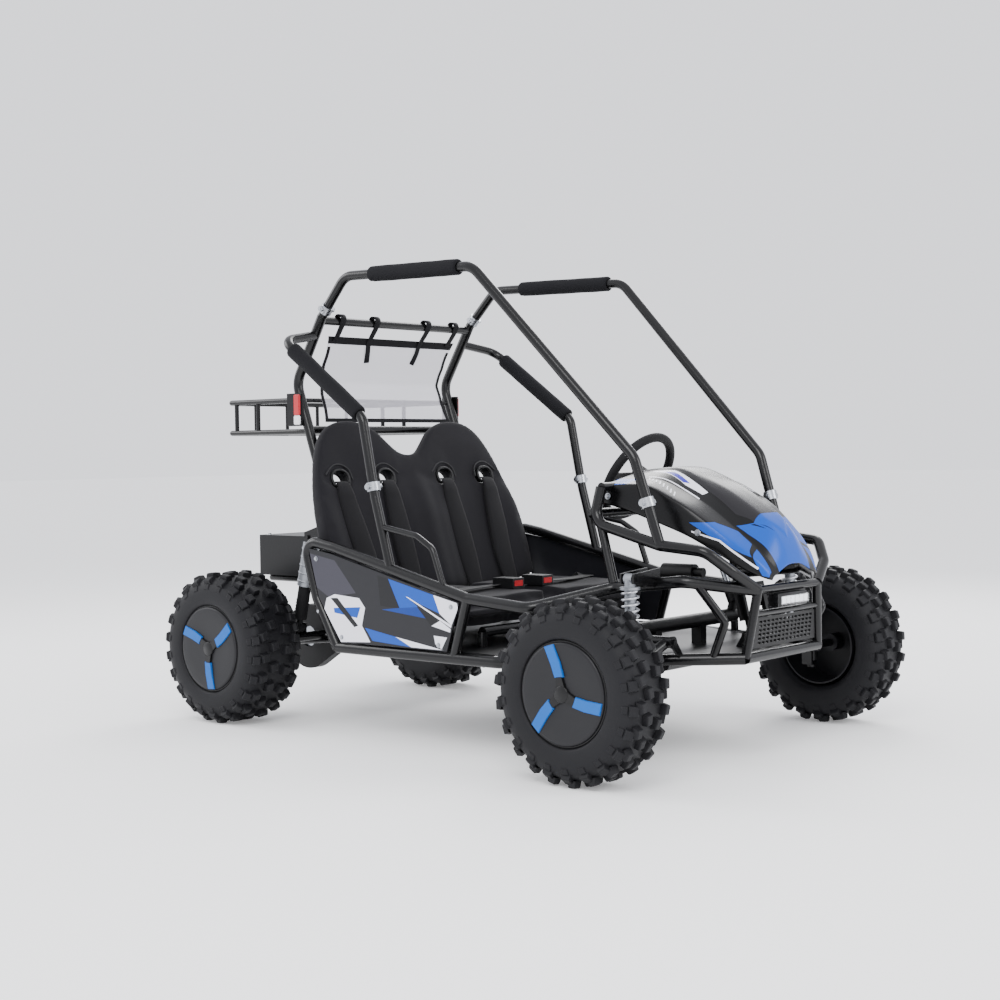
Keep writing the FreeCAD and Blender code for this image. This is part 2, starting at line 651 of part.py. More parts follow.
lamp_plate = brick(Vector(lamp_spot.x - 46, -plate_y - 4, lamp_spot.z - 50),
                   Vector(lamp_spot.x + 15, -plate_y, lamp_spot.z + 38))
rack_parts += [lamp_plate, mirrored(lamp_plate)]
luggage_rack = add_shape("luggage_rack", joined(rack_parts), [rear_uprights])

lamp_boxes = []
for side, sign in SIDES.items():
    lamp = doc.addObject("Part::Box", "tail_lamp_" + side)
    bind(lamp, Length=26, Width=9, Height=84)
    inner_y = S["upright_y"] + UPRIGHT / 2 + 4
    put(lamp, lamp_spot.x - 13, inner_y if sign > 0 else -inner_y - 9, lamp_spot.z - 48)
    lamp_boxes.append(lamp)
doc.recompute()
group("tail_lamps", lamp_boxes)

# ---------------------------------------------------------------- rear wind screen

screen_y = S["upright_y"] - 42
screen_top = upright_at(S["bar_out_z"] + 22) + Vector(2, 0, 0)
screen_knee = Vector(knee.x + 16, 0, knee.z)
screen_low = upright_at(S["rack_low_z"] + 24) + Vector(22, 0, 0)
strips = []
for a, b in ((screen_top, screen_knee), (screen_knee, screen_low)):
    corners = [Vector(a.x, -screen_y.number, a.z), Vector(a.x, screen_y.number, a.z),
               Vector(b.x, screen_y.number, b.z), Vector(b.x, -screen_y.number, b.z)]
    strips.append(slab(corners, 4))
add_shape("rear_screen", joined(strips), [rear_uprights, luggage_rack, side_bars])

# ---------------------------------------------------------------- seats and belts

def back_x(z):
    """The seat back's front face at one height."""
    return REAR + S["seat_top_x"] + (S["seat_top_z"] - z) * S["seat_lean"]


half_seat = [(0, S["seat_valley_z"]), (62, S["seat_valley_z"] + 22), (112, S["seat_top_z"] - 30),
             (158, S["seat_top_z"] - 5), (S["seat_centre_y"], S["seat_top_z"]),
             (S["seat_centre_y"] + 58, S["seat_top_z"] - 6), (310, S["seat_top_z"] - 34),
             (348, S["seat_top_z"] - 88), (376, S["seat_top_z"] - 160),
             (S["seat_y"] - 6, S["seat_top_z"] - 250), (S["seat_y"], S["seat_top_z"] - 330),
             (S["seat_y"] - 4, S["seat_low_z"] + 60), (S["seat_y"] - 14, S["seat_low_z"])]
LEAN = math.degrees(math.atan(S["seat_lean"].number))
stretch = 1 / math.cos(math.radians(LEAN))
seat_corners = [(as_size(y), (z - S["seat_top_z"]) * stretch) for y, z in half_seat]
seat_corners += [(-y, z) for y, z in reversed(seat_corners) if y.number > 0]
seat_plate = padded_plate("seat_plate", "YZ_Plane", seat_corners, S["seat_thick"], keep=False)
put(seat_plate, REAR + S["seat_top_x"] - S["seat_thick"] / 2 * stretch, 0, S["seat_top_z"],
    turn(Y_AXIS, -LEAN))
slots = []
SLOT_Z = S["seat_top_z"] - 162
for sign in (-1, 1):
    for y in (118, 290):
        slot = doc.addObject("Part::Box", "belt_slot_%d_%d" % (y, sign + 1))
        bind(slot, Length=200, Width=58, Height=34)
        put(slot, REAR + S["seat_top_x"] - 40, sign * y - 29, SLOT_Z - 17)
        slots.append(slot)
doc.recompute()
cut_by("seat_back", seat_plate, slots)

cushions = []
for side, sign in SIDES.items():
    blank = doc.addObject("Part::Box", "cushion_blank_" + side)
    wide = S["seat_y"] - 14 - S["cushion_gap"] / 2
    bind(blank, Length=S["cushion_front_x"] - S["cushion_back_x"], Width=wide,
         Height=S["cushion_top_z"] - S["cushion_low_z"])
    low_y = S["cushion_gap"] / 2 if sign > 0 else -(S["cushion_gap"] / 2) - wide
    put(blank, REAR + S["cushion_back_x"], low_y, S["cushion_low_z"])
    doc.recompute()
    soft = doc.addObject("Part::Fillet", "cushion_" + side)
    soft.Base = blank
    soft.Edges = [(index + 1, 22, 22) for index in range(len(blank.Shape.Edges))]
    cushions.append(soft)
doc.recompute()
group("seat_cushions", cushions)

BELT_W = 48
BELT_T = 4
belts = []
belt_off = 2.5
for y in (-290, -118, 118, 290):
    top_z = SLOT_Z.number - 22
    low_z = S["seat_low_z"].number + 62
    high = point(back_x(top_z) + belt_off, y, top_z)
    low = point(back_x(low_z) + belt_off, y * 0.92, low_z)
    side = Vector(0, BELT_W / 2, 0)
    strip = slab([high - side, high + side, low + side, low - side], BELT_T)
    belts.append(strip.translated(Vector(4, 0, 0)))
for sign in (-1, 1):
    across_low = point(REAR + S["cushion_back_x"] + 190, sign * 60, S["cushion_top_z"] + 3)
    across_far = point(REAR + S["cushion_back_x"] + 190, sign * 372, S["cushion_top_z"] + 3)
    along = Vector(BELT_W / 2, 0, 0)
    belts.append(slab([across_low - along, across_low + along, across_far + along,
                       across_far - along], BELT_T))
add_shape("harness_belts", Part.makeCompound(belts))

buckle_boxes = []
BUCKLE = {"long": 70, "wide": 44, "deep": 26}
BUTTON = {"long": 12, "wide": 32, "deep": 14}
for side, sign in SIDES.items():
    x = REAR + S["cushion_back_x"] + 190 + BELT_W / 2 + 4
    y = sign * 60
    z = S["cushion_top_z"] + 2
    shell = doc.addObject("Part::Box", "buckle_shell_" + side)
    bind(shell, Length=BUCKLE["long"], Width=BUCKLE["wide"], Height=BUCKLE["deep"])
    put(shell, x, y - BUCKLE["wide"] / 2, z)
    mouth = doc.addObject("Part::Box", "button_mouth_" + side)
    bind(mouth, Length=BUTTON["long"] + 8, Width=BUTTON["wide"] + 0.8, Height=BUTTON["deep"] + 0.8)
    put(mouth, x + BUCKLE["long"] - BUTTON["long"] - 7, y - BUTTON["wide"] / 2 - 0.4,
        z + BUCKLE["deep"] / 2 - BUTTON["deep"] / 2 - 0.4)
    hollow = doc.addObject("Part::Cut", "buckle_" + side)
    hollow.Base = shell
    hollow.Tool = mouth
    buckle_boxes.append(hollow)
    button = doc.addObject("Part::Box", "release_button_" + side)
    bind(button, Length=BUTTON["long"], Width=BUTTON["wide"], Height=BUTTON["deep"])
    put(button, x + BUCKLE["long"] - BUTTON["long"] + 1, y - BUTTON["wide"] / 2,
        z + BUCKLE["deep"] / 2 - BUTTON["deep"] / 2)
    button.Label = "release_button_" + side
    NODES.append(button)
doc.recompute()
group("buckles", buckle_boxes)

# ---------------------------------------------------------------- cowl, grille and lamp

# The cowl is lofted through ribs: station, half width low and high, side foot, shoulder and crown.
COWL_RIBS = [(-176, 212, 150, 596, 652, 672), (-60, 205, 128, 566, 650, 678),
             (60, 190, 112, 520, 590, 630), (130, 168, 104, 478, 536, 586),
             (186, 136, 96, 440, 490, 546), (S["nose_reach"] - 2, 104, 74, 424, 446, 470)]
WALL = 3.0


def cowl_rib(rib, skin):
    station, low_half, high_half, foot_z, shoulder_z, crown_z = [float(value) for value in rib]
    x = (FRONT + station).number
    if skin:
        low_half -= skin
        high_half -= skin * 0.7
        foot_z -= skin * 3
        shoulder_z -= skin
        crown_z -= skin
    corners = [(-low_half, foot_z), (-low_half * 0.97, shoulder_z - 14), (-high_half, shoulder_z),
               (-high_half * 0.45, crown_z), (high_half * 0.45, crown_z), (high_half, shoulder_z),
               (low_half * 0.97, shoulder_z - 14), (low_half, foot_z)]
    return Part.makePolygon([Vector(x, y, z) for y, z in corners + corners[:1]])


outer = Part.makeLoft([cowl_rib(rib, 0) for rib in COWL_RIBS], True, True)
inner = Part.makeLoft([cowl_rib(rib, WALL) for rib in COWL_RIBS], True, True)
add_shape("hood", outer.cut(inner), [front_frame] + list(hoops.values()) + [tube_clamps])

grille_low = along_z(nose_top, nose_low, S["rail_low_front_z"] + 20)
grille_high = along_z(nose_top, nose_low, S["lamp_z"] - 36)
grille_y = [abs(grille_low.y) - 16, abs(grille_high.y) - 16]
grille_corners = [Vector(grille_low.x, -grille_y[0], grille_low.z),
                  Vector(grille_low.x, grille_y[0], grille_low.z),
                  Vector(grille_high.x, grille_y[1], grille_high.z),
                  Vector(grille_high.x, -grille_y[1], grille_high.z)]
grille_face = slab(grille_corners, 4)
windows = []
way_up = (grille_corners[3] + grille_corners[2] - grille_corners[0] - grille_corners[1]) * 0.5
rise = way_up.normalize()
face_height = (grille_high - grille_low).Length
ROWS = 6
COLUMNS = 14
row_pitch = (face_height - 12) / ROWS
column_pitch = (2 * grille_y[1] - 16) / COLUMNS
for row in range(ROWS):
    for column in range(COLUMNS):
        spot = Vector(grille_low.x, 0, grille_low.z) + rise * (6 + row_pitch * (row + 0.5))
        spot.y = (column - (COLUMNS - 1) / 2) * column_pitch
        side = Vector(0, column_pitch / 2 - 2.5, 0)
        lift = rise * (row_pitch / 2 - 2)
        windows.append(slab([spot - side - lift, spot + side - lift, spot + side + lift,
                             spot - side + lift], 12))
front_grille = add_shape("front_grille", grille_face.cut(Part.makeCompound(windows)), [front_frame])

LAMP_LONG = 132
LAMP_HIGH = 30
lamp_x = nose_top.x + 11
lamp_block = brick(point(lamp_x - 12, -LAMP_LONG / 2, S["lamp_z"] - LAMP_HIGH / 2),
                   point(lamp_x + 10, LAMP_LONG / 2, S["lamp_z"] + LAMP_HIGH / 2))
bracket_parts = [brick(point(nose_top.x - 4, -LAMP_LONG / 2 - 14, S["lamp_z"] - 14),
                       point(nose_top.x - 1, LAMP_LONG / 2 + 14, S["nose_top_z"] - 6))]
for sign in (-1, 1):
    near_y = sign * (LAMP_LONG / 2 + 1)
    far_y = sign * (LAMP_LONG / 2 + 4)
    bracket_parts.append(brick(point(nose_top.x - 4, min(near_y, far_y), S["lamp_z"] - 14),
                               point(lamp_x + 4, max(near_y, far_y), S["lamp_z"] + 14)))
lamp_bracket = add_shape("lamp_bracket", joined(bracket_parts), [front_frame, front_grille])
add_shape("front_lamp", lamp_block.makeFillet(3, lamp_block.Edges),
          [lamp_bracket, front_frame, front_grille])

# ---------------------------------------------------------------- box and master cylinder

box_blank = doc.addObject("Part::Box", "box_blank")
bind(box_blank, Length=S["box_back_x"] + S["box_front_x"], Width=2 * S["box_y"],
     Height=S["box_top_z"] - S["box_low_z"])
put(box_blank, REAR - S["box_back_x"], -S["box_y"], S["box_low_z"])
doc.recompute()
cut_by("battery_box", box_blank, [rear_uprights])

barrel = doc.addObject("Part::Cylinder", "cylinder_barrel")
bind(barrel, Radius=19, Height=88)
put(barrel, FRONT - 78, -100, S["mid_a_z"] + 30, turn(Y_AXIS, 90))
neck = doc.addObject("Part::Cylinder", "cylinder_neck")
bind(neck, Radius=11, Height=24)
put(neck, FRONT + 10, -100, S["mid_a_z"] + 30, turn(Y_AXIS, 90))
stay = doc.addObject("Part::Box", "cylinder_stay")
bind(stay, Length=40, Width=170, Height=6)
put(stay, FRONT - 56, -S["mid_y"] + 12, S["mid_a_z"] + 8)
cylinder_body = doc.addObject("Part::MultiFuse", "cylinder_whole")
cylinder_body.Shapes = [barrel, neck, stay]
doc.recompute()
cut_by("master_cylinder", cylinder_body, [front_frame, side_frames])

# ---------------------------------------------------------------- steering

GAP = S["running_gap"]
TILT = turn(Y_AXIS, S["column_lean"].number - 90)
RIM_R = (S["wheel_od"] - S["grip_od"]) / 2
grip = doc.addObject("Part::Torus", "grip_ring")
bind(grip, Radius1=RIM_R, Radius2=S["grip_od"] / 2)
boss = doc.addObject("Part::Cylinder", "wheel_boss")
bind(boss, Radius=30, Height=30)
put(boss, 0, 0, -24)
spokes = []
for angle in (90, 180, 270):
    spoke = doc.addObject("Part::Box", "wheel_spoke_%d" % angle)
    bind(spoke, Length=RIM_R, Width=34, Height=5)
    spin = turn(Z_AXIS, angle)
    spoke.Placement = FreeCAD.Placement(spin.multVec(Vector(0, -17, -10)), spin)
    spokes.append(spoke)
wheel_whole = doc.addObject("Part::MultiFuse", "steering_wheel")
wheel_whole.Shapes = [grip, boss] + spokes
put(wheel_whole, REAR + S["wheel_x"], S["wheel_y"], S["wheel_z"], TILT)
wheel_whole.Label = "steering_wheel"
NODES.append(wheel_whole)

JOINT_AT = WHEEL_HUB + COLUMN_WAY * float(S["column_run"])
column = rod(WHEEL_HUB + COLUMN_WAY * 24, JOINT_AT, S["column_od"])
add_shape("steering_column", column)

SHAFT_ANGLE = math.radians(S["shaft_lean"].number)
SHAFT_WAY = Vector(math.cos(SHAFT_ANGLE), 0, -math.sin(SHAFT_ANGLE))
shaft_top = JOINT_AT + COLUMN_WAY * 12
RACK_X = FRONT - S["rack_x"]
shaft_end = shaft_top + SHAFT_WAY * float(S["shaft_run"])
joint_ball = Part.makeSphere(10, shaft_top)
shaft = joined([joint_ball, rod(shaft_top, shaft_end, 16)])
add_shape("steering_shaft", shaft)

RACK_Y = float(S["mid_y"]) - 26
tower_foot = shaft_end - SHAFT_WAY * 34
tower = rod(tower_foot, shaft_end + SHAFT_WAY * 4, 34)
rack_tube = rod(point(RACK_X, -RACK_Y + 40, S["rack_z"]), point(RACK_X, RACK_Y - 19, S["rack_z"]),
                S["rack_od"])
tower_hole = rod(tower_foot - SHAFT_WAY * 10, shaft_end + SHAFT_WAY * 1.5, 16 + 2 * GAP.number)
bar_hole = rod(point(RACK_X, -RACK_Y, S["rack_z"]), point(RACK_X, RACK_Y + 60, S["rack_z"]),
               S["rack_bar_od"] + 2 * GAP)
tower_link = rod(shaft_end, point(RACK_X, S["wheel_y"], S["rack_z"]), 22)
rack_feet = [brick(point(RACK_X - 14, y - 12, pan_z + S["pan_thick"] / 2),
                   point(RACK_X + 14, y + 12, S["rack_z"])) for y in (-130, 60)]
housing = joined([tower, rack_tube, tower_link] + rack_feet).cut(tower_hole).cut(bar_hole)
add_shape("rack_housing", housing, [lower_frame])

TIE_Y = float(S["arm_pivot_y"])
TIE_Z = float(S["arm_pivot_z"]) + 15
FORK_GAP = 7
FORK_THICK = 4
rack_bar_parts = [rod(point(RACK_X, -TIE_Y + 12, S["rack_z"]), point(RACK_X, TIE_Y - 12, S["rack_z"]),
                      S["rack_bar_od"])]
for sign in (-1, 1):
    fork_y = sign * (TIE_Y - 12)
    for shift in (-FORK_GAP - FORK_THICK, FORK_GAP):
        cheek_x = RACK_X + shift
        rack_bar_parts.append(brick(point(cheek_x, min(fork_y, fork_y + sign * 20), TIE_Z - 9),
                                    point(cheek_x + FORK_THICK, max(fork_y, fork_y + sign * 20), TIE_Z + 9)))
    pin_y = sign * TIE_Y
    rack_bar_parts.append(rod(point(RACK_X - 14, pin_y, TIE_Z), point(RACK_X + 14, pin_y, TIE_Z), 6))
add_shape("rack_bar", joined(rack_bar_parts))

STEER_Z = TYRE_R.number
STEER_X = float(FRONT) - float(S["steer_arm"])
TIE_LIFT = float(S["tie_gap"]) + 12
for side, sign in SIDES.items():
    inner_eye = point(RACK_X, sign * TIE_Y, TIE_Z)
    outer_eye = Vector(STEER_X, sign * float(S["kingpin_y"]), STEER_Z + TIE_LIFT)
    eye = rod(inner_eye - X_AXIS * 5, inner_eye + X_AXIS * 5, 16)
    eye_hole = rod(inner_eye - X_AXIS * 20, inner_eye + X_AXIS * 20, 6 + 2 * GAP.number)
    end = rod(outer_eye - Z_AXIS * 6, outer_eye + Z_AXIS * 6, 20)
    link = rod(inner_eye, outer_eye, 10)
    add_shape("tie_rod_" + side, joined([eye, end, link]).cut(eye_hole))

# ---------------------------------------------------------------- front arms, knuckles, shocks

KING_X = float(FRONT)
KING_R = float(S["kingpin_od"]) / 2
BARREL_HALF = 36
EAR_GAP = 1
EAR_THICK = 9
LUG_Z = float(S["arm_pivot_z"])
PIVOT_GAP = 1


def front_arm(sign):
    pivot = point(KING_X, sign * float(S["arm_pivot_y"]), LUG_Z)
    low = -ARM_EAR_BACK + EAR / 2 + PIVOT_GAP
    high = ARM_EAR_AHEAD - EAR / 2 - PIVOT_GAP
    tube = rod(pivot + X_AXIS * low, pivot + X_AXIS * high, 26)
    pin = rod(pivot - X_AXIS * (ARM_EAR_BACK + 8), pivot + X_AXIS * (ARM_EAR_AHEAD + 8), KING_R * 2)
    king = point(KING_X, sign * float(S["kingpin_y"]), STEER_Z)
    inward = Vector(0, -sign, 0)
    plate_at = king + inward * 19
    spar_end = plate_at + inward * -1
    spars = [rod(pivot + X_AXIS * (low + 12), spar_end - X_AXIS * 8, 24),
             rod(pivot + X_AXIS * (high - 12), spar_end + X_AXIS * 8, 24)]
    outer_z = BARREL_HALF + EAR_GAP + EAR_THICK
    back = brick(Vector(king.x - 14, min(plate_at.y - 4, plate_at.y + 4), king.z - outer_z),
                 Vector(king.x + 14, max(plate_at.y - 4, plate_at.y + 4), king.z + outer_z))
    ears = []
    for way in (-1, 1):
        ear_low = king.z + way * (BARREL_HALF + EAR_GAP)
        ear_high = king.z + way * outer_z
        ears.append(brick(Vector(king.x - 14, min(plate_at.y, king.y), min(ear_low, ear_high)),
                          Vector(king.x + 14, max(plate_at.y, king.y), max(ear_low, ear_high))))
        ears.append(Part.makeCylinder(14, EAR_THICK, Vector(king.x, king.y, min(ear_low, ear_high))))
    hole = Part.makeCylinder(KING_R + GAP.number, 4 * outer_z, king - Z_AXIS * 2 * outer_z)
    lug_spot = point(KING_X, sign * float(S["front_shock_y"]), LUG_Z)
    base_z = between(pivot, king, (lug_spot.y - pivot.y) / (king.y - pivot.y)).z
    lugs = []
    for shift in (-15, 15):
        low_corner = Vector(lug_spot.x + shift - 2.5, lug_spot.y - 12, base_z - 4)
        lugs.append(brick(low_corner, Vector(lug_spot.x + shift + 2.5, lug_spot.y + 12, LUG_Z + 12)))
    tie = rod(Vector(king.x - 26, lug_spot.y, base_z), Vector(king.x + 26, lug_spot.y, base_z), 20)
    bolt = rod(lug_spot - X_AXIS * 20, lug_spot + X_AXIS * 20, SHOCK_PIN)
    return joined([tube, pin] + spars + [back] + ears + lugs + [tie, bolt]).cut(hole)


def knuckle(sign):
    king = point(KING_X, sign * float(S["kingpin_y"]), STEER_Z)
    outward = Vector(0, sign, 0)
    barrel = Part.makeCylinder(14, 2 * BARREL_HALF, king - Z_AXIS * BARREL_HALF)
    outer_z = BARREL_HALF + EAR_GAP + EAR_THICK
    pin = Part.makeCylinder(KING_R, 2 * outer_z + 16, king - Z_AXIS * (outer_z + 8))
    heads = [Part.makeCylinder(10, 7, king + Z_AXIS * (outer_z + 1)),
             Part.makeCylinder(10, 7, king - Z_AXIS * (outer_z + 8))]
    wheel_y = float(S["front_track"]) / 2 + float(S["front_tyre_width"]) / 2 - 12
    stub = rod(king, Vector(king.x, sign * wheel_y, king.z), S["stub_od"])
    flange = rod(king + outward * 14, king + outward * 24, 34)
    arm_end = king - X_AXIS * float(S["steer_arm"])
    arm = brick(Vector(arm_end.x, king.y - 6, king.z - 6), Vector(king.x, king.y + 6, king.z + 6))
    tip = Part.makeCylinder(10, 12, arm_end - Z_AXIS * 6)
    return joined([barrel, pin, stub, flange, arm, tip] + heads)


right_arm = front_arm(-1)
right_knuckle = knuckle(-1)
add_shape("front_arm_right", right_arm)
add_shape("front_arm_left", mirrored(right_arm))
add_shape("knuckle_right", right_knuckle)
add_shape("knuckle_left", mirrored(right_knuckle))

FRONT_EYE_Z = float(S["front_shock_top"])
SHOCK_GAP = 0.3
BODY_LONG = 62
ROD_OD = 12
SEAT_Z = LUG_Z + 30
PERCH_Z = FRONT_EYE_Z - 24
front_bodies = []
for side, sign in SIDES.items():
    eye_at = point(KING_X, sign * float(S["front_shock_y"]), FRONT_EYE_Z)
    eye = rod(eye_at - X_AXIS * 11, eye_at + X_AXIS * 11, 24)
    eye_hole = rod(eye_at - X_AXIS * 30, eye_at + X_AXIS * 30, SHOCK_PIN)
    perch = Part.makeCylinder(23, 6, Vector(eye_at.x, eye_at.y, PERCH_Z))
    tube_low = PERCH_Z - BODY_LONG
    tube = Part.makeCylinder(13, FRONT_EYE_Z - tube_low, Vector(eye_at.x, eye_at.y, tube_low))
    bore = Part.makeCylinder(ROD_OD / 2 + GAP.number, BODY_LONG, Vector(eye_at.x, eye_at.y, tube_low - 1))
    front_bodies.append(joined([eye, perch, tube]).cut(eye_hole).cut(bore))
add_shape("front_shock_bodies", Part.makeCompound(front_bodies))

for side, sign in SIDES.items():
    low_at = point(KING_X, sign * float(S["front_shock_y"]), LUG_Z)
    eye = rod(low_at - X_AXIS * 11, low_at + X_AXIS * 11, 26)
    open_hole = rod(low_at - X_AXIS * 30, low_at + X_AXIS * 30, SHOCK_PIN + 2 * S["open_gap"])
    seat = Part.makeCylinder(22, 5, Vector(low_at.x, low_at.y, SEAT_Z - 5))
    stem = Part.makeCylinder(ROD_OD / 2, PERCH_Z - 40 - low_at.z, Vector(low_at.x, low_at.y, low_at.z))
    neck = Part.makeCylinder(10, SEAT_Z - 4 - low_at.z, low_at)
    add_shape("front_shock_rod_" + side, joined([eye, seat, stem, neck]).cut(open_hole))

COILS = 6
WIRE = 5.5
spring_low = SEAT_Z + WIRE / 2 + 0.2
spring_high = PERCH_Z - WIRE / 2 - 0.2
for side, sign in SIDES.items():
    helix = Part.makeHelix((spring_high - spring_low) / COILS, spring_high - spring_low, 18)
    start = Part.Wire(Part.makeCircle(WIRE / 2, Vector(18, 0, 0), Y_AXIS))
    coil = Part.Wire(helix.Edges).makePipeShell([start], True, True)
    coil.translate(point(KING_X, sign * float(S["front_shock_y"]), spring_low))
    add_shape("front_spring_" + side, coil)

# ---------------------------------------------------------------- swing arm, axle and drive

AXLE_AT = point(REAR, 0, TYRE_R)
AXLE_R = float(S["axle_od"]) / 2
CARRIER_Y = float(S["carrier_y"])
swing_half = float(S["swing_y"]) - 4 - 1
swing_parts = [rod(SWING_PIVOT - Y_AXIS * swing_half, SWING_PIVOT + Y_AXIS * swing_half, 30)]
lug_spot = at_rear(S["shock_low_x"], -S["shock_y"], S["shock_low_z"])
lug_tube_z = float(S["shock_low_z"]) - 27
swing_bolt = rod(SWING_PIVOT - Y_AXIS * (swing_half + 20), SWING_PIVOT + Y_AXIS * (swing_half + 20),
                 SWING_PIN)
swing_parts.append(swing_bolt)
for sign in (-1, 1):
    carrier = AXLE_AT + Y_AXIS * (sign * CARRIER_Y)
    spar_start = SWING_PIVOT + Y_AXIS * (sign * (swing_half - 16))
    swing_parts.append(rod(spar_start, carrier + X_AXIS * 20, 30))
    swing_parts.append(rod(carrier - Y_AXIS * 24, carrier + Y_AXIS * 24, S["carrier_od"]))
    lug_centre = Vector(lug_spot.x, sign * abs(lug_spot.y), lug_spot.z)
    for shift in (-15, 15):
        low_corner = lug_centre + Vector(-12, shift - 2.5, -34)
        swing_parts.append(brick(low_corner, lug_centre + Vector(12, shift + 2.5, 12)))
    swing_parts.append(rod(lug_centre - Y_AXIS * 20, lug_centre + Y_AXIS * 20, SHOCK_PIN))
lug_cross = Vector(lug_spot.x, lug_spot.y - 17, lug_tube_z)
swing_parts.append(crossing(lug_cross, S["lug_od"]))
carrier_hole = rod(AXLE_AT - Y_AXIS * 400, AXLE_AT + Y_AXIS * 400, 2 * (AXLE_R + GAP.number))
swing_arm = add_shape("swing_arm", joined(swing_parts).cut(carrier_hole))

REAR_TRACK = float(S["rear_track"])
REAR_W = float(S["rear_tyre_width"])
axle_half = REAR_TRACK / 2 + REAR_W / 2 - 10
axle_parts = [rod(AXLE_AT - Y_AXIS * axle_half, AXLE_AT + Y_AXIS * axle_half, 2 * AXLE_R)]
for y in (-CARRIER_Y + 27, CARRIER_Y - 27 - 14):
    axle_parts.append(rod(AXLE_AT + Y_AXIS * y, AXLE_AT + Y_AXIS * (y + 14), 40))
for sign in (-1, 1):
    near = AXLE_AT + Y_AXIS * (sign * (CARRIER_Y + 28))
    far = AXLE_AT + Y_AXIS * (sign * (REAR_TRACK / 2 - 30))
    axle_parts.append(rod(near, far, 38))
add_shape("rear_axle", joined(axle_parts))

CHAIN_Y = -float(S["chain_y"])
SPROCKET_TEETH = 36
PINION_TEETH = 9


def toothed(teeth, outer, thick, bore):
    """A chain wheel: a disc with a round-bottomed gap between each pair of teeth."""
    disc = Part.makeCylinder(outer / 2, thick, Vector(0, 0, -thick / 2))
    pitch_r = outer / 2 - 1
    roller = math.pi * pitch_r / teeth * 0.5
    gaps = []
    for tooth in range(teeth):
        angle = 2 * math.pi * tooth / teeth
        spot = Vector(pitch_r * math.cos(angle), pitch_r * math.sin(angle), -thick)
        gaps.append(Part.makeCylinder(roller, 2 * thick, spot))
    disc = disc.cut(Part.makeCompound(gaps))
    return disc.cut(Part.makeCylinder(bore / 2, 2 * thick, Vector(0, 0, -thick)))


def stand_on_y(shape, at):
    shape.Placement = FreeCAD.Placement(at, turn(X_AXIS, 90))
    return shape


sprocket = toothed(SPROCKET_TEETH, float(S["sprocket_od"]), 5, 2 * AXLE_R)
for hole in range(6):
    angle = 2 * math.pi * hole / 6
    spot = Vector(45 * math.cos(angle), 45 * math.sin(angle), -10)
    sprocket = sprocket.cut(Part.makeCylinder(13, 20, spot))
hub = Part.makeCylinder(28, 16, Vector(0, 0, -8)).cut(Part.makeCylinder(AXLE_R, 40, Vector(0, 0, -20)))
add_shape("sprocket", stand_on_y(joined([sprocket, hub]), AXLE_AT + Y_AXIS * CHAIN_Y))

DISC_Y = 110
disc = Part.makeCylinder(float(S["disc_od"]) / 2, 4, Vector(0, 0, -2))
for ring_r, count, hole_r in ((62, 18, 3.5), (53, 18, 3.5), (36, 6, 9)):
    for hole in range(count):
        angle = 2 * math.pi * (hole + (ring_r == 53) * 0.5) / count
        spot = Vector(ring_r * math.cos(angle), ring_r * math.sin(angle), -5)
        disc = disc.cut(Part.makeCylinder(hole_r, 10, spot))
disc_hub = Part.makeCylinder(26, 18, Vector(0, 0, -9))
brake = joined([disc, disc_hub]).cut(Part.makeCylinder(AXLE_R, 40, Vector(0, 0, -20)))
add_shape("brake_disc", stand_on_y(brake, AXLE_AT + Y_AXIS * DISC_Y))

caliper_at = AXLE_AT + Y_AXIS * DISC_Y + Vector(62, 0, 6)
caliper_block = brick(caliper_at + Vector(-22, -26, -26), caliper_at + Vector(28, 26, 26))
caliper_slot = Part.makeCylinder(float(S["disc_od"]) / 2 + 3, 9, Vector(0, 0, -4.5))
caliper_block = caliper_block.cut(stand_on_y(caliper_slot, AXLE_AT + Y_AXIS * DISC_Y))
caliper_arm = brick(caliper_at + Vector(26, -14, -14),
                    Vector(lug_spot.x, caliper_at.y + 14, caliper_at.z + 8))
caliper = joined([caliper_block, caliper_arm]).cut(swing_arm.Shape)
add_shape("brake_caliper", caliper)

MOTOR_AT = at_rear(S["motor_x"], 0, S["motor_z"])
MOTOR_R = float(S["motor_od"]) / 2
motor_half = float(S["motor_long"]) / 2
motor_y = 20
motor = rod(MOTOR_AT + Y_AXIS * (motor_y - motor_half), MOTOR_AT + Y_AXIS * (motor_y + motor_half),
            2 * MOTOR_R)
motor = motor.makeFillet(8, motor.Edges)
for fin in range(10):
    y = motor_y - 50 + fin * 11
    ring = rod(MOTOR_AT + Y_AXIS * (y - 2), MOTOR_AT + Y_AXIS * (y + 2), 2 * MOTOR_R + 6)
    motor = motor.fuse(ring)
nose_boss = rod(MOTOR_AT + Y_AXIS * (motor_y - motor_half - 8), MOTOR_AT + Y_AXIS * motor_y, 54)
shaft_bore = rod(MOTOR_AT + Y_AXIS * (motor_y - motor_half - 40), MOTOR_AT + Y_AXIS * (motor_y - 20),
                 14 + 2 * GAP.number)
motor = motor.fuse(nose_boss).removeSplitter().cut(shaft_bore).cut(swing_arm.Shape)
add_shape("motor", motor)

pinion = toothed(PINION_TEETH, float(S["pinion_od"]), 5, 0.5)
pinion = pinion.fuse(Part.makeCylinder(13, 12, Vector(0, 0, -6)))
pinion = stand_on_y(pinion, MOTOR_AT + Y_AXIS * CHAIN_Y)
spindle = rod(MOTOR_AT + Y_AXIS * (CHAIN_Y - 10), MOTOR_AT + Y_AXIS * (motor_y - 30), 14)
add_shape("motor_sprocket", joined([pinion, spindle]))


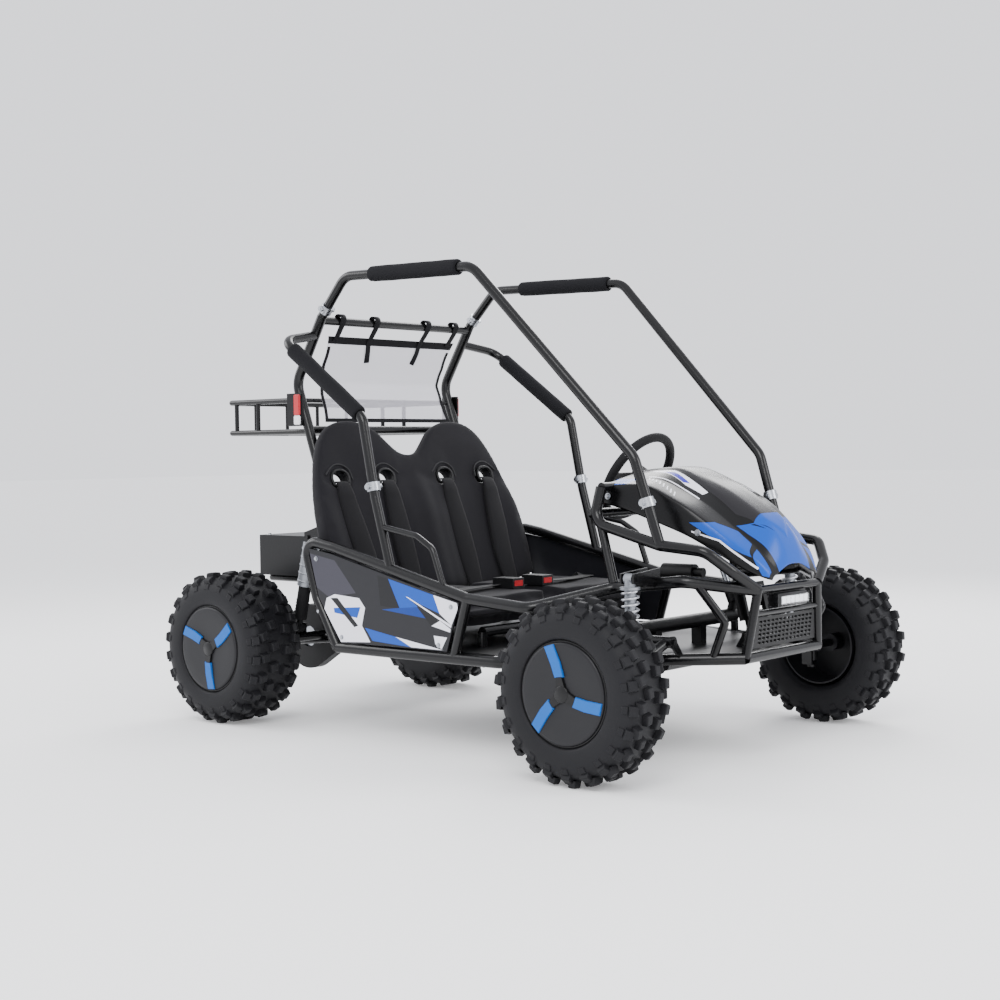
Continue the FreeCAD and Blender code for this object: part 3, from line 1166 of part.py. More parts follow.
def belt_loop(radius_a, radius_b, thick):
    """A flat band shape round both chain wheels, as wide as they stand apart."""
    centre_a = AXLE_AT + Y_AXIS * CHAIN_Y
    centre_b = MOTOR_AT + Y_AXIS * CHAIN_Y
    half = Y_AXIS * (thick / 2)
    ends = [rod(centre_a - half, centre_a + half, 2 * radius_a),
            rod(centre_b - half, centre_b + half, 2 * radius_b)]
    gap = (centre_b - centre_a).Length
    slope = math.asin((radius_a - radius_b) / gap)
    base = math.atan2(centre_b.z - centre_a.z, centre_b.x - centre_a.x)
    corners = []
    for centre, radius, way in ((centre_a, radius_a, 1), (centre_b, radius_b, 1),
                                (centre_b, radius_b, -1), (centre_a, radius_a, -1)):
        angle = base + way * (math.pi / 2 - slope)
        corners.append(centre + Vector(math.cos(angle), 0, math.sin(angle)) * radius)
    return joined(ends + [slab(corners, thick)])


sprocket_r = float(S["sprocket_od"]) / 2
pinion_r = float(S["pinion_od"]) / 2
guard = belt_loop(sprocket_r + 12, pinion_r + 14, 30).cut(belt_loop(sprocket_r + 9, pinion_r + 11, 24))
axle_room = rod(AXLE_AT - Y_AXIS * 250, AXLE_AT + Y_AXIS * 250, 60)
spindle_room = rod(MOTOR_AT - Y_AXIS * 150, MOTOR_AT, 2 * pinion_r + 4)
guard = guard.cut(axle_room).cut(spindle_room)
guard = guard.cut(rod(lug_cross, Vector(lug_cross.x, -lug_cross.y, lug_cross.z), S["lug_od"]))
add_shape("chain_guard", guard)

SHOCK_TOP = shock_eye
SHOCK_LOW = lug_spot
shock_way = (SHOCK_LOW - SHOCK_TOP).normalize()
sleeve_long = 118
eye = rod(SHOCK_TOP - Y_AXIS * 11, SHOCK_TOP + Y_AXIS * 11, 26)
eye_hole = rod(SHOCK_TOP - Y_AXIS * 30, SHOCK_TOP + Y_AXIS * 30, SHOCK_PIN)
neck = rod(SHOCK_TOP + shock_way * 8, SHOCK_TOP + shock_way * 20, 18)
sleeve = rod(SHOCK_TOP + shock_way * 18, SHOCK_TOP + shock_way * (18 + sleeve_long), 44)
sleeve_bore = rod(SHOCK_TOP + shock_way * 26, SHOCK_TOP + shock_way * 400, 34 + 2 * SHOCK_GAP)
rear_body = joined([eye, neck, sleeve]).cut(eye_hole).cut(sleeve_bore)
add_shape("rear_shock_bodies", both_sides(rear_body), [rear_uprights])
low_eye = rod(SHOCK_LOW - Y_AXIS * 11, SHOCK_LOW + Y_AXIS * 11, 28)
low_hole = rod(SHOCK_LOW - Y_AXIS * 30, SHOCK_LOW + Y_AXIS * 30, SHOCK_PIN + 2 * S["open_gap"])
boot = rod(SHOCK_LOW - shock_way * 26, SHOCK_LOW - shock_way * 170, 34)
boot_neck = rod(SHOCK_LOW - shock_way * 8, SHOCK_LOW - shock_way * 30, 16)
rear_rod = joined([low_eye, boot_neck, boot]).cut(low_hole)
add_shape("rear_shock_rods", both_sides(rear_rod))

# ---------------------------------------------------------------- wheels

HOLE_R = S["tyre_hole"] / 2
BEAD_R = HOLE_R - 14
RIM_STEP = 16


def tyre_profile(width):
    half = width / 2
    bead = half - RIM_STEP
    return [(BEAD_R, -bead), (HOLE_R, -bead), (HOLE_R, -(half - 2)), (HOLE_R + 12, -half),
            (TYRE_R - 40, -half), (TYRE_R - 14, -(half - 8)), (TYRE_R, -(half - 26)),
            (TYRE_R, half - 26), (TYRE_R - 14, half - 8), (TYRE_R - 40, half),
            (HOLE_R + 12, half), (HOLE_R, half - 2), (HOLE_R, bead), (BEAD_R, bead)]


def rim_profile(width, bore_r):
    """The wheel: a barrel, a dished face on its outer (+) side and a hub."""
    half = width / 2
    bead = half - RIM_STEP
    face = half - 8
    hub_r = bore_r + 12
    inner = BEAD_R - S["rim_wall"]
    return [(bore_r, face - 42), (hub_r, face - 42), (hub_r, face - 5), (inner, face - 5),
            (inner, -bead), (BEAD_R, -bead), (BEAD_R, bead), (HOLE_R - 4, bead),
            (HOLE_R - 4, face), (bore_r, face)]


def wheel_pieces(name, width, bore_r):
    tyre = turned("tyre_" + name, tyre_profile(width), keep=False)
    rim = turned("rim_" + name, rim_profile(width, bore_r), keep=False)
    return tyre, rim


def on_wheel(label, body, x, y, z, sign):
    put(body, x, y, z, turn(X_AXIS, -90 * sign))
    body.Label = label


bore = S["stub_od"] / 2 + GAP
for side, sign in SIDES.items():
    tyre, rim = wheel_pieces("front_" + side, S["front_tyre_width"], bore)
    on_wheel("front_tyre_" + side, tyre, FRONT, sign * S["front_track"] / 2, TYRE_R, sign)
    on_wheel("front_rim_" + side, rim, FRONT, sign * S["front_track"] / 2, TYRE_R, sign)
    NODES += [tyre, rim]
rear_tyres = []
rear_rims = []
for side, sign in SIDES.items():
    tyre, rim = wheel_pieces("rear_" + side, S["rear_tyre_width"], S["axle_od"] / 2)
    on_wheel("rear_tyre_" + side, tyre, REAR, sign * S["rear_track"] / 2, TYRE_R, sign)
    on_wheel("rear_rim_" + side, rim, REAR, sign * S["rear_track"] / 2, TYRE_R, sign)
    rear_tyres.append(tyre)
    rear_rims.append(rim)
doc.recompute()
group("rear_tyres", rear_tyres)
group("rear_rims", rear_rims)

# ---------------------------------------------------------------- pedals

for name, y in PEDALS.items():
    pivot = point(PEDAL_X, y, PEDAL_Z)
    sleeve = rod(pivot - Y_AXIS * 17, pivot + Y_AXIS * 17, 20)
    pin = rod(pivot - Y_AXIS * 26, pivot + Y_AXIS * 26, PEDAL_PIN)
    lean = Vector(-0.25, 0, 1).normalize()
    lever = slab([pivot + Vector(-6, 0, 0), pivot + Vector(6, 0, 0), pivot + lean * 120 + Vector(6, 0, 0),
                  pivot + lean * 120 + Vector(-6, 0, 0)], 10)
    wide = 56 if name == "brake" else 40
    high = 60 if name == "brake" else 90
    top = pivot + lean * 128
    low = pivot + lean * (128 - high)
    half = Y_AXIS * (wide / 2)
    tread = slab([top - half, top + half, low + half, low - half], 6).translated(Vector(-8, 0, 0))
    add_shape(name + "_pedal", joined([sleeve, pin, lever, tread]))


# ---------------------------------------------------------------- checks and files

doc.recompute()
labels = [node.Label for node in NODES]
if len(set(labels)) != len(labels):
    raise RuntimeError("two nodes share one name")
if len(NODES) > 60:
    raise RuntimeError("%d nodes are more than 60" % len(NODES))
for thing in doc.Objects:
    if "Invalid" in thing.State or "Error" in thing.State:
        raise RuntimeError("%s failed: %s" % (thing.Label, thing.State))
for node in NODES:
    if node.Shape.isNull() or not node.Shape.isValid() or not node.Shape.Solids:
        raise RuntimeError("%s has no valid shape" % node.Label)

os.makedirs("parts", exist_ok=True)
for node in NODES:
    node.Shape.exportStep("parts/%s.step" % node.Label)
print("%d nodes, %d solids" % (len(NODES), sum(len(node.Shape.Solids) for node in NODES)))
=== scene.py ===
import bmesh
import bpy
import math
from mathutils import Matrix, Vector, noise


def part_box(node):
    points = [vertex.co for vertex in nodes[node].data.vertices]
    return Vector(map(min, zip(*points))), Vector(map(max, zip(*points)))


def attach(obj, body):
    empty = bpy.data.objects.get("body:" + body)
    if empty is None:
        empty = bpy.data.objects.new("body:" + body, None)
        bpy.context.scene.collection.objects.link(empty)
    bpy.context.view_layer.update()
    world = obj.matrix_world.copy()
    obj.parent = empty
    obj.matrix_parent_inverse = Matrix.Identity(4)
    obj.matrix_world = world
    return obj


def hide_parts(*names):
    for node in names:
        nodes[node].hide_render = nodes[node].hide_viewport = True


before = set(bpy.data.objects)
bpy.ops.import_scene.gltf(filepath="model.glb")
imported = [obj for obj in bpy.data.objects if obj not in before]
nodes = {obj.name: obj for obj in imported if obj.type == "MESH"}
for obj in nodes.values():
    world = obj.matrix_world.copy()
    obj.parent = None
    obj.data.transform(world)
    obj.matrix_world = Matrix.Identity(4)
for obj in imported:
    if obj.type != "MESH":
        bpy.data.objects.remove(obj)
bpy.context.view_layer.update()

# ---------------------------------------------------------------- studio and camera
# A pale seamless floor, three soft lamps and a white sky. The camera stands low on the
# kart's right front quarter, a little over four metres away from its middle.

def linear(code):
    """An sRGB hex colour as linear RGBA."""
    shares = [int(code[i:i + 2], 16) / 255 for i in (1, 3, 5)]
    return tuple(c / 12.92 if c <= 0.04045 else ((c + 0.055) / 1.055) ** 2.4 for c in shares) + (1.0,)


def node(tree, kind, links=(), **settings):
    """Adds a node with its settings, and links or sets the inputs named in (key, value) pairs."""
    made = tree.nodes.new(kind)
    for name, value in settings.items():
        setattr(made, name, value)
    for key, value in links:
        if isinstance(value, bpy.types.NodeSocket):
            tree.links.new(value, made.inputs[key])
        else:
            made.inputs[key].default_value = value
    return made


def finish_of(name, colour, roughness, grain_mm=0.0, relief=0.0, mottle=0.0, **shader_inputs):
    """A surface with a mottled colour and a grain that lifts it. Extra inputs go on the shader.

    Returns the material, its tree, its shader and the mottled colour's socket."""
    material = bpy.data.materials.new(name)
    material.use_nodes = True
    tree = material.node_tree
    shader = tree.nodes["Principled BSDF"]
    shader.inputs["Roughness"].default_value = roughness
    for key, value in shader_inputs.items():
        shader.inputs[key.replace("_", " ")].default_value = value
    place = node(tree, "ShaderNodeTexCoord").outputs["Object"]
    cloud = node(tree, "ShaderNodeTexNoise", [("Vector", place), ("Scale", 9.0), ("Detail", 4.0)])
    shade = node(tree, "ShaderNodeMix", [(0, cloud.outputs[0]), (6, linear(colour)),
                                         (7, tuple(c * (1 + mottle) for c in linear(colour)[:3]) + (1,))],
                 data_type="RGBA")
    tree.links.new(shade.outputs[2], shader.inputs["Base Color"])
    if grain_mm:
        grain = node(tree, "ShaderNodeTexNoise", [("Vector", place), ("Scale", 1000 / grain_mm),
                                                  ("Detail", 3.0), ("Roughness", 0.6)])
        bump = node(tree, "ShaderNodeBump", [("Strength", relief), ("Distance", grain_mm / 1000),
                                             ("Height", grain.outputs[0])])
        tree.links.new(bump.outputs[0], shader.inputs["Normal"])
    return material, tree, shader, shade.outputs[2]


def shown_as(name, data):
    """A new object of this data, linked to the scene."""
    item = bpy.data.objects.new(name, data)
    bpy.context.scene.collection.objects.link(item)
    return item


def mesh_piece(name, points, faces, material, body, slot, smooth=True):
    """A finished piece: its mesh is in place, and it rides on a body. The slot is not used."""
    mesh = bpy.data.meshes.new(name)
    mesh.from_pydata([tuple(p) for p in points], [], faces)
    mesh.validate()
    for face in mesh.polygons:
        face.use_smooth = smooth
    piece = shown_as(name, mesh)
    mesh.materials.append(material)
    if body:
        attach(piece, body)
    return piece


FLOOR_HALF = 40.0
paper = finish_of("seamless_paper", "#F6F6F6", 0.9, grain_mm=3.0, relief=0.02, Emission_Strength=0.2)[0]
floor = mesh_piece("studio_floor", [(-FLOOR_HALF, -FLOOR_HALF, 0), (FLOOR_HALF, -FLOOR_HALF, 0),
                                    (FLOOR_HALF, FLOOR_HALF, 0), (-FLOOR_HALF, FLOOR_HALF, 0)],
                   [(0, 1, 2, 3)], paper, None, None)
sky = bpy.data.worlds.new("studio_sky")
bpy.context.scene.world = sky
sky.use_nodes = True
sky.node_tree.nodes["Background"].inputs["Color"].default_value = (0.94, 0.95, 1.0, 1.0)
sky.node_tree.nodes["Background"].inputs["Strength"].default_value = 1.6
for name, spot, power, size in (("key", (2.2, -3.4, 3.6), 150, 2.4), ("fill", (-3.4, -1.6, 2.4), 60, 2.0),
                                ("back", (-1.2, 3.2, 3.0), 110, 2.2), ("front", (4.0, 1.0, 2.2), 60, 1.6)):
    lamp_data = bpy.data.lights.new(name, "AREA")
    lamp_data.energy = power
    lamp_data.size = size
    lamp = shown_as(name, lamp_data)
    lamp.location = spot
    lamp.rotation_mode = "QUATERNION"
    lamp.rotation_quaternion = (Vector((0, 0, 0.4)) - Vector(spot)).to_track_quat("-Z", "Y")

CAMERA_AT = Vector((2.8065, -3.3220, 0.7240))
CAMERA_YAW = math.radians(40.6)
CAMERA_PITCH = 0.0303
CAMERA_ROLL = -0.0135
back = Vector((math.sin(CAMERA_YAW) * math.cos(CAMERA_PITCH),
               -math.cos(CAMERA_YAW) * math.cos(CAMERA_PITCH), math.sin(CAMERA_PITCH)))
level = Vector((math.cos(CAMERA_YAW), math.sin(CAMERA_YAW), 0))
upward = back.cross(level)
right = level * math.cos(CAMERA_ROLL) + upward * math.sin(CAMERA_ROLL)
upward = back.cross(right)
camera_data = bpy.data.cameras.new("camera")
camera_data.lens = 59.27
camera_data.sensor_width = 36.0
camera = shown_as("camera", camera_data)
camera.rotation_mode = "QUATERNION"
camera.location = CAMERA_AT
camera.rotation_quaternion = Matrix((right, upward, back)).transposed().to_quaternion()
bpy.context.scene.camera = camera

# ---------------------------------------------------------------- tube frame, roll hoops and rack
# Welded mild steel tube and plate, powder coated gloss black. The coat flows a little, so
# its shine has an orange peel, and it has picked up fine dust.

def smooth_cad(name, material, angle=32):
    """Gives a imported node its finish, and shades its round faces smoothly."""
    item = nodes[name]
    for face in item.data.polygons:
        face.use_smooth = True
        face.material_index = 0
    item.data.materials.clear()
    item.data.materials.append(material)
    weld = item.modifiers.new("weld", "WELD")
    weld.merge_threshold = 0.00002
    split = item.modifiers.new("split", "EDGE_SPLIT")
    split.split_angle = math.radians(angle)
    return item


# Baked powder gives a hard gloss with orange peel, about 2 mm across, drawn at 5 mm to show.
powder_coat = finish_of("powder_coated_steel", "#050506", 0.24, grain_mm=5.0, relief=0.05, mottle=0.5,
                        Specular_IOR_Level=0.34)[0]
# Sprayed sheet is duller than the tubes, and walked on or leant on.
sheet_paint = finish_of("painted_sheet_steel", "#060608", 0.40, grain_mm=6.0, relief=0.06, mottle=0.5,
                        Specular_IOR_Level=0.3)[0]
for name in ("lower_frame", "side_frames", "rear_uprights", "front_frame", "roll_hoop_right",
             "roll_hoop_left", "side_bars", "luggage_rack", "lamp_bracket", "front_arm_right",
             "front_arm_left", "swing_arm"):
    smooth_cad(name, powder_coat)
for name in ("floor_pan", "battery_box"):
    smooth_cad(name, sheet_paint)

# ---------------------------------------------------------------- knobbly tyres
# Low-pressure off-road tyres of carbon black rubber, moulded in one piece: a smooth, rounded
# carcass with blocks in staggered rows, the outer ones folded over the shoulder.

def bevelled_block(name, long, wide, high, taper, round_off):
    """A small block standing on its own z = 0, its top edges rounded off."""
    bm = bmesh.new()
    bmesh.ops.create_cube(bm, size=1.0)
    for vert in bm.verts:
        share = 1.0 if vert.co.z < 0 else taper
        vert.co = Vector((vert.co.x * long * share, vert.co.y * wide * share, (vert.co.z + 0.5) * high))
    top = [edge for edge in bm.edges if all(vert.co.z > high / 2 for vert in edge.verts)]
    bmesh.ops.bevel(bm, geom=top, offset=round_off, segments=1, affect="EDGES")
    mesh = bpy.data.meshes.new(name)
    bm.to_mesh(mesh)
    bm.free()
    return shown_as(name, mesh)


def repeat_tree():
    """One part on every point of a mesh, stood up along "out", turned to "along", scaled by "size"."""
    tree = bpy.data.node_groups.new("set_in_rows", "GeometryNodeTree")
    for label, kind in (("Points", "NodeSocketGeometry"), ("Part", "NodeSocketObject"),
                        ("Finish", "NodeSocketMaterial")):
        tree.interface.new_socket(label, in_out="INPUT", socket_type=kind)
    tree.interface.new_socket("Rows", in_out="OUTPUT", socket_type="NodeSocketGeometry")
    given = node(tree, "NodeGroupInput")
    result = node(tree, "NodeGroupOutput")
    fields = {}
    for label in ("out", "along", "size"):
        fields[label] = node(tree, "GeometryNodeInputNamedAttribute", [("Name", label)],
                             data_type="FLOAT_VECTOR").outputs["Attribute"]
    turn = node(tree, "FunctionNodeAxesToRotation", [(0, fields["out"]), (1, fields["along"])],
                primary_axis="Z", secondary_axis="X")
    shape = node(tree, "GeometryNodeObjectInfo", [("Object", given.outputs["Part"])])
    spots = node(tree, "GeometryNodeMeshToPoints", [("Mesh", given.outputs["Points"])])
    rows = node(tree, "GeometryNodeInstanceOnPoints",
                [("Points", spots.outputs[0]), ("Instance", shape.outputs["Geometry"]),
                 ("Rotation", turn.outputs[0]), ("Scale", fields["size"])])
    real = node(tree, "GeometryNodeRealizeInstances", [(0, rows.outputs[0])])
    coated = node(tree, "GeometryNodeSetMaterial", [("Geometry", real.outputs[0]),
                                                    ("Material", given.outputs["Finish"])])
    tree.links.new(coated.outputs[0], result.inputs[0])
    return tree


rows_tree = repeat_tree()


def plain_mesh(host):
    """The final mesh of an object with modifiers, or of a curve. The object itself is removed."""
    bpy.context.view_layer.update()
    made = bpy.data.meshes.new_from_object(host.evaluated_get(bpy.context.evaluated_depsgraph_get()))
    bpy.data.objects.remove(host)
    return made


def set_in_rows(name, spots, part, material, body):
    """Repeats a part at (place, out, along, size) spots, as one plain mesh riding on one body."""
    mesh = bpy.data.meshes.new(name + "_spots")
    mesh.from_pydata([tuple(spot[0]) for spot in spots], [], [])
    for column, label in enumerate(("out", "along", "size"), start=1):
        layer = mesh.attributes.new(label, "FLOAT_VECTOR", "POINT")
        for index, spot in enumerate(spots):
            layer.data[index].vector = spot[column]
    host = shown_as(name + "_host", mesh)
    modifier = host.modifiers.new("rows", "NODES")
    modifier.node_group = rows_tree
    names = {item.name: item.identifier for item in rows_tree.interface.items_tree}
    modifier[names["Part"]] = part
    modifier[names["Finish"]] = material
    shown = plain_mesh(host)
    piece = shown_as(name, shown)
    if not shown.materials:
        shown.materials.append(material)
    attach(piece, body)


X_WAY, Y_WAY, Z_WAY = Vector((1, 0, 0)), Vector((0, 1, 0)), Vector((0, 0, 1))
AS_MADE = Vector((1, 1, 1))


def lathe(profile, steps, centre, out=Y_WAY):
    """Points and faces of a (radius, height) profile spun about a line through centre along out."""
    side = X_WAY if abs(out.x) < 0.9 else Y_WAY
    side = (side - out * side.dot(out)).normalized()
    other = out.cross(side)
    points = []
    for step in range(steps):
        angle = 2 * math.pi * step / steps
        ray = side * math.cos(angle) + other * math.sin(angle)
        points += [centre + ray * radius + out * height for radius, height in profile]
    count = len(profile)
    faces = []
    for step in range(steps):
        near, far = step * count, (step + 1) % steps * count
        faces += [(near + i, far + i, far + i + 1, near + i + 1) for i in range(count - 1)]
    return points, faces


def closed_spin(profile, steps, centre, out=Y_WAY):
    """A spun ring whose profile is closed on itself."""
    return lathe(profile + profile[:1], steps, centre, out)


def cleaned(piece, distance=0.00005):
    """Joins doubles and turns every face outwards."""
    bm = bmesh.new()
    bm.from_mesh(piece.data)
    bmesh.ops.remove_doubles(bm, verts=bm.verts, dist=distance)
    bmesh.ops.recalc_face_normals(bm, faces=bm.faces)
    bm.to_mesh(piece.data)
    bm.free()
    return piece


TYRE_RADIUS = 0.203
WELL_RADIUS = 0.116
BLOCK_HIGH = 0.0125
BLOCKS_ROUND = 22
# Rubber is blue-black where new; fine dust dulls it, so its shine is broad.
rubber = finish_of("moulded_tyre_rubber", "#0C0C0F", 0.60, grain_mm=2.5, relief=0.18, mottle=0.6,
                   Specular_IOR_Level=0.25)[0]


def tyre(name, node_name, centre, width, body):
    """Carcass and blocks of one tyre. It replaces its node, where one is named."""
    half = width / 2
    crown = TYRE_RADIUS - BLOCK_HIGH
    outer = [(WELL_RADIUS - 0.010, half - 0.017), (WELL_RADIUS - 0.001, half - 0.015),
             (WELL_RADIUS + 0.001, half - 0.006), (WELL_RADIUS + 0.006, half - 0.0025),
             (WELL_RADIUS + 0.020, half - 0.0012), (WELL_RADIUS + 0.036, half - 0.0012),
             (WELL_RADIUS + 0.048, half - 0.004), (crown - 0.013, half - 0.010),
             (crown - 0.005, half - 0.020), (crown - 0.001, half - 0.036), (crown, 0.0)]
    profile = outer + [(radius, -height) for radius, height in reversed(outer[:-1])]
    points, faces = closed_spin(profile, 96, centre)
    carcass = cleaned(mesh_piece(name + "_carcass", points, faces, rubber, body, "tyre"))
    smooth = carcass.modifiers.new("smooth", "SUBSURF")
    smooth.levels = smooth.render_levels = 1
    spots = []
    inner_y = 0.26 * half
    mid_y = 0.62 * half
    for row in range(BLOCKS_ROUND):
        for y, shift, long, wide in ((inner_y, 0.0, 1.0, 1.0), (-inner_y, 0.25, 1.0, 1.0),
                                     (mid_y, 0.5, 0.95, 0.92), (-mid_y, 0.75, 0.95, 0.92)):
            angle = 2 * math.pi * (row + shift) / BLOCKS_ROUND
            ray = Vector((math.cos(angle), 0, math.sin(angle)))
            along = Vector((-math.sin(angle), 0.18 if y > 0 else -0.18, math.cos(angle)))
            lean = (ray + Y_WAY * (y / half) * 0.10).normalized()
            spots.append((centre + ray * (crown - 0.004) + Vector((0, y, 0)), lean, along,
                          Vector((long, wide * half / 0.067, 1.0))))
        for sign in (-1, 1):
            angle = 2 * math.pi * (row + (0.1 if sign > 0 else 0.6)) / BLOCKS_ROUND
            ray = Vector((math.cos(angle), 0, math.sin(angle)))
            along = Vector((-math.sin(angle), 0, math.cos(angle)))
            for inwards, sideways, up, out, size in ((0.0135, 0.0185, 0.80, 0.60, (1.0, 1.15, 0.86)),
                                                     (0.026, 0.0085, 0.30, 0.95, (0.72, 0.80, 0.36))):
                spots.append((centre + ray * (crown - inwards) + Y_WAY * (sign * (half - sideways)),
                              (ray * up + Y_WAY * (sign * out)).normalized(), along, Vector(size)))
    set_in_rows(name + "_lugs", spots, lug, rubber, body)
    if node_name:
        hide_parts(node_name)


lug = bevelled_block("lug", 0.027, 0.021, BLOCK_HIGH + 0.0035, 0.80, 0.0018)
for side, sign in (("right", -1), ("left", 1)):
    low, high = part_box("front_tyre_" + side)
    tyre("front_tyre_%s_rubber" % side, "front_tyre_" + side, (low + high) / 2, high.y - low.y,
         "front_wheel_" + side)
REAR_WIDTH = 0.172
low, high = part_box("rear_tyres")
rear_middles = {sign: Vector(((low.x + high.x) / 2, sign * (high.y - REAR_WIDTH / 2), (low.z + high.z) / 2))
                for sign in (-1, 1)}
tyre("rear_tyre_right_rubber", "rear_tyres", rear_middles[-1], REAR_WIDTH, "axle")
tyre("rear_tyre_left_rubber", None, rear_middles[1], REAR_WIDTH, "axle")
bpy.data.objects.remove(lug)

# ---------------------------------------------------------------- wheel covers
# Moulded dark polypropylene discs pushed into the rims, with three cranked blue blades
# clipped on, a three-cornered hub and a cap. Between disc and tyre, a near-black ring is
# painted shade in the recess there.

# Moulded polypropylene has a low satin sheen; the blades are coloured right through, and the
# glass-filled nylon of the hub is nearly black. The same near-black, on the ring round the disc,
# is painted shade in the recess between disc and tyre. Their moulded grain is drawn at 3 mm.
cover_plastic = finish_of("moulded_polypropylene", "#111114", 0.44, grain_mm=3.0, relief=0.05, mottle=0.2,
                          Specular_IOR_Level=0.3)[0]
blade_plastic = finish_of("blue_moulded_blade", "#0056A4", 0.42, grain_mm=3.0, relief=0.03, mottle=0.1,
                          Specular_IOR_Level=0.3)[0]
# Near-black nylon: its own colour on hub, cap and slot trims, and painted shade on the ring in the recess
# round each disc.
nylon_and_painted_shade = finish_of("black_nylon_and_painted_shade", "#050506", 0.4, grain_mm=3.0, relief=0.05, mottle=0.4,
                         Specular_IOR_Level=0.3)[0]


def points_and_faces(bm):
    """A worked mesh as points and faces."""
    points = [vert.co.copy() for vert in bm.verts]
    index = {vert: number for number, vert in enumerate(bm.verts)}
    faces = [tuple(index[vert] for vert in face.verts) for face in bm.faces]
    bm.free()
    return points, faces


def flat_part(name, outline, low, high, place, material, body, slot, round_off=0.0012):
    """A prism of a flat outline from low to high, set by place(x, y, height), top edges rounded."""
    bm = bmesh.new()
    ring = [bm.verts.new((x, y, low)) for x, y in outline]
    base = bm.faces.new(ring)
    lifted = bmesh.ops.extrude_face_region(bm, geom=[base])["geom"]
    top = [item for item in lifted if isinstance(item, bmesh.types.BMVert)]
    for vert in top:
        vert.co.z = high
    edges = [edge for edge in bm.edges if edge.verts[0] in top and edge.verts[1] in top]
    bmesh.ops.bevel(bm, geom=edges, offset=round_off, segments=2, affect="EDGES")
    bmesh.ops.recalc_face_normals(bm, faces=bm.faces)
    points, faces = points_and_faces(bm)
    points = [place(*spot) for spot in points]
    cleaned(mesh_piece(name, points, faces, material, body, slot, smooth=False))


DISC_RADIUS = 0.1115


def wheel_cover(name, centre, sign, half, body, spin):
    """Disc, blades, hub and cap, standing out from the wheel's middle plane towards sign."""
    out = Vector((0, sign, 0))
    face = half - 0.0085
    profile = [(DISC_RADIUS, face - 0.004), (DISC_RADIUS, face + 0.0025),
               (DISC_RADIUS - 0.0025, face + 0.005), (DISC_RADIUS - 0.008, face + 0.0055),
               (0.075, face + 0.0045), (0.040, face + 0.0032), (0.022, face + 0.003), (0.0, face + 0.003)]
    points, faces = lathe(profile, 96, centre, out)
    cleaned(mesh_piece(name + "_disc", points, faces, cover_plastic, body, "wheel_plastic"))
    # Painted shade: a near-black ring round the disc stands in for the shade in the recess between disc and
    # tyre.
    groove_shade = [(DISC_RADIUS + 0.0045, face - 0.002), (DISC_RADIUS + 0.0045, face + 0.0005),
              (DISC_RADIUS - 0.002, face + 0.0005), (DISC_RADIUS - 0.002, face - 0.002)]
    points, faces = closed_spin(groove_shade, 96, centre, out)
    cleaned(mesh_piece(name + "_groove", points, faces, nylon_and_painted_shade, body, "wheel_plastic"))
    for blade in range(3):
        angle = math.radians(spin + 120 * blade)
        ray = Vector((math.cos(angle), 0, math.sin(angle)))
        flank = Vector((-math.sin(angle), 0, math.cos(angle)))

        def place(x, y, height):
            return centre + ray * x + flank * y + out * height

        outline = [(0.036, -0.013), (0.068, -0.0095), (0.1085, 0.001), (0.1055, 0.0275),
                   (0.066, 0.0165), (0.037, 0.011)]
        flat_part("%s_blade_%d" % (name, blade), outline, face + 0.002, face + 0.0085, place,
                  blade_plastic, body, "wheel_plastic")
        outline = [(0.006, -0.014), (0.040, -0.008), (0.040, 0.008), (0.006, 0.014)]
        flat_part("%s_hub_arm_%d" % (name, blade), outline, face + 0.002, face + 0.0078, place,
                  nylon_and_painted_shade, body, "wheel_plastic")
    profile = [(0.0185, face + 0.002), (0.0185, face + 0.0078), (0.0170, face + 0.0088),
               (0.0, face + 0.0092)]
    points, faces = lathe(profile, 36, centre, out)
    cleaned(mesh_piece(name + "_cap", points, faces, nylon_and_painted_shade, body, "wheel_plastic"))


for side, sign in (("right", -1), ("left", 1)):
    low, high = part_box("front_tyre_" + side)
    wheel_cover("front_cover_" + side, (low + high) / 2, sign, (high.y - low.y) / 2,
                "front_wheel_" + side, 100)
    wheel_cover("rear_cover_" + side, rear_middles[sign], sign, REAR_WIDTH / 2, "axle", 28)
for name in ("front_rim_right", "front_rim_left", "rear_rims"):
    smooth_cad(name, cover_plastic)

# ---------------------------------------------------------------- cowl
# A vacuum-formed ABS shell lofted over the front rails, gloss black, with a raised smoked
# panel down its middle, blue and white films under the gloss, and slots pressed in its flanks.

FRONT_AXLE = (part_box("front_tyre_right")[0].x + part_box("front_tyre_right")[1].x) / 2


def above(tree, value, level):
    """One where value is above level, nought elsewhere, with a cut edge."""
    return node(tree, "ShaderNodeMath", [(0, value), (1, level)], operation="GREATER_THAN").outputs[0]


def printed(tree, across, upward_axis, base, shapes):
    """Films cut to convex outlines in a plane (two coordinates, metres), laid over the base colour."""
    spot = node(tree, "ShaderNodeCombineXYZ", [(0, across), (1, upward_axis)]).outputs[0]
    colour = base
    for code, outline in shapes:
        area = sum(a[0] * b[1] - b[0] * a[1] for a, b in zip(outline, outline[1:] + outline[:1]))
        inside = None
        for a, b in zip(outline, outline[1:] + outline[:1]):
            normal = Vector((a[1] - b[1], b[0] - a[0])).normalized() * (1 if area > 0 else -1)
            offset = normal.x * a[0] + normal.y * a[1]
            reach = node(tree, "ShaderNodeVectorMath", [(0, spot), (1, (normal.x, normal.y, 0))],
                         operation="DOT_PRODUCT").outputs["Value"]
            edge = above(tree, reach, offset)
            inside = edge if inside is None else node(tree, "ShaderNodeMath", [(0, inside), (1, edge)],
                                                      operation="MULTIPLY").outputs[0]
        colour = node(tree, "ShaderNodeMix", [(0, inside), (6, colour), (7, linear(code))],
                      data_type="RGBA").outputs[2]
    return colour


BLUE = "#0046A4"
WHITE = "#E9E9F2"
VIOLET = "#2A26A0"
SMOKE = "#1C1B1E"
COAL = "#060608"
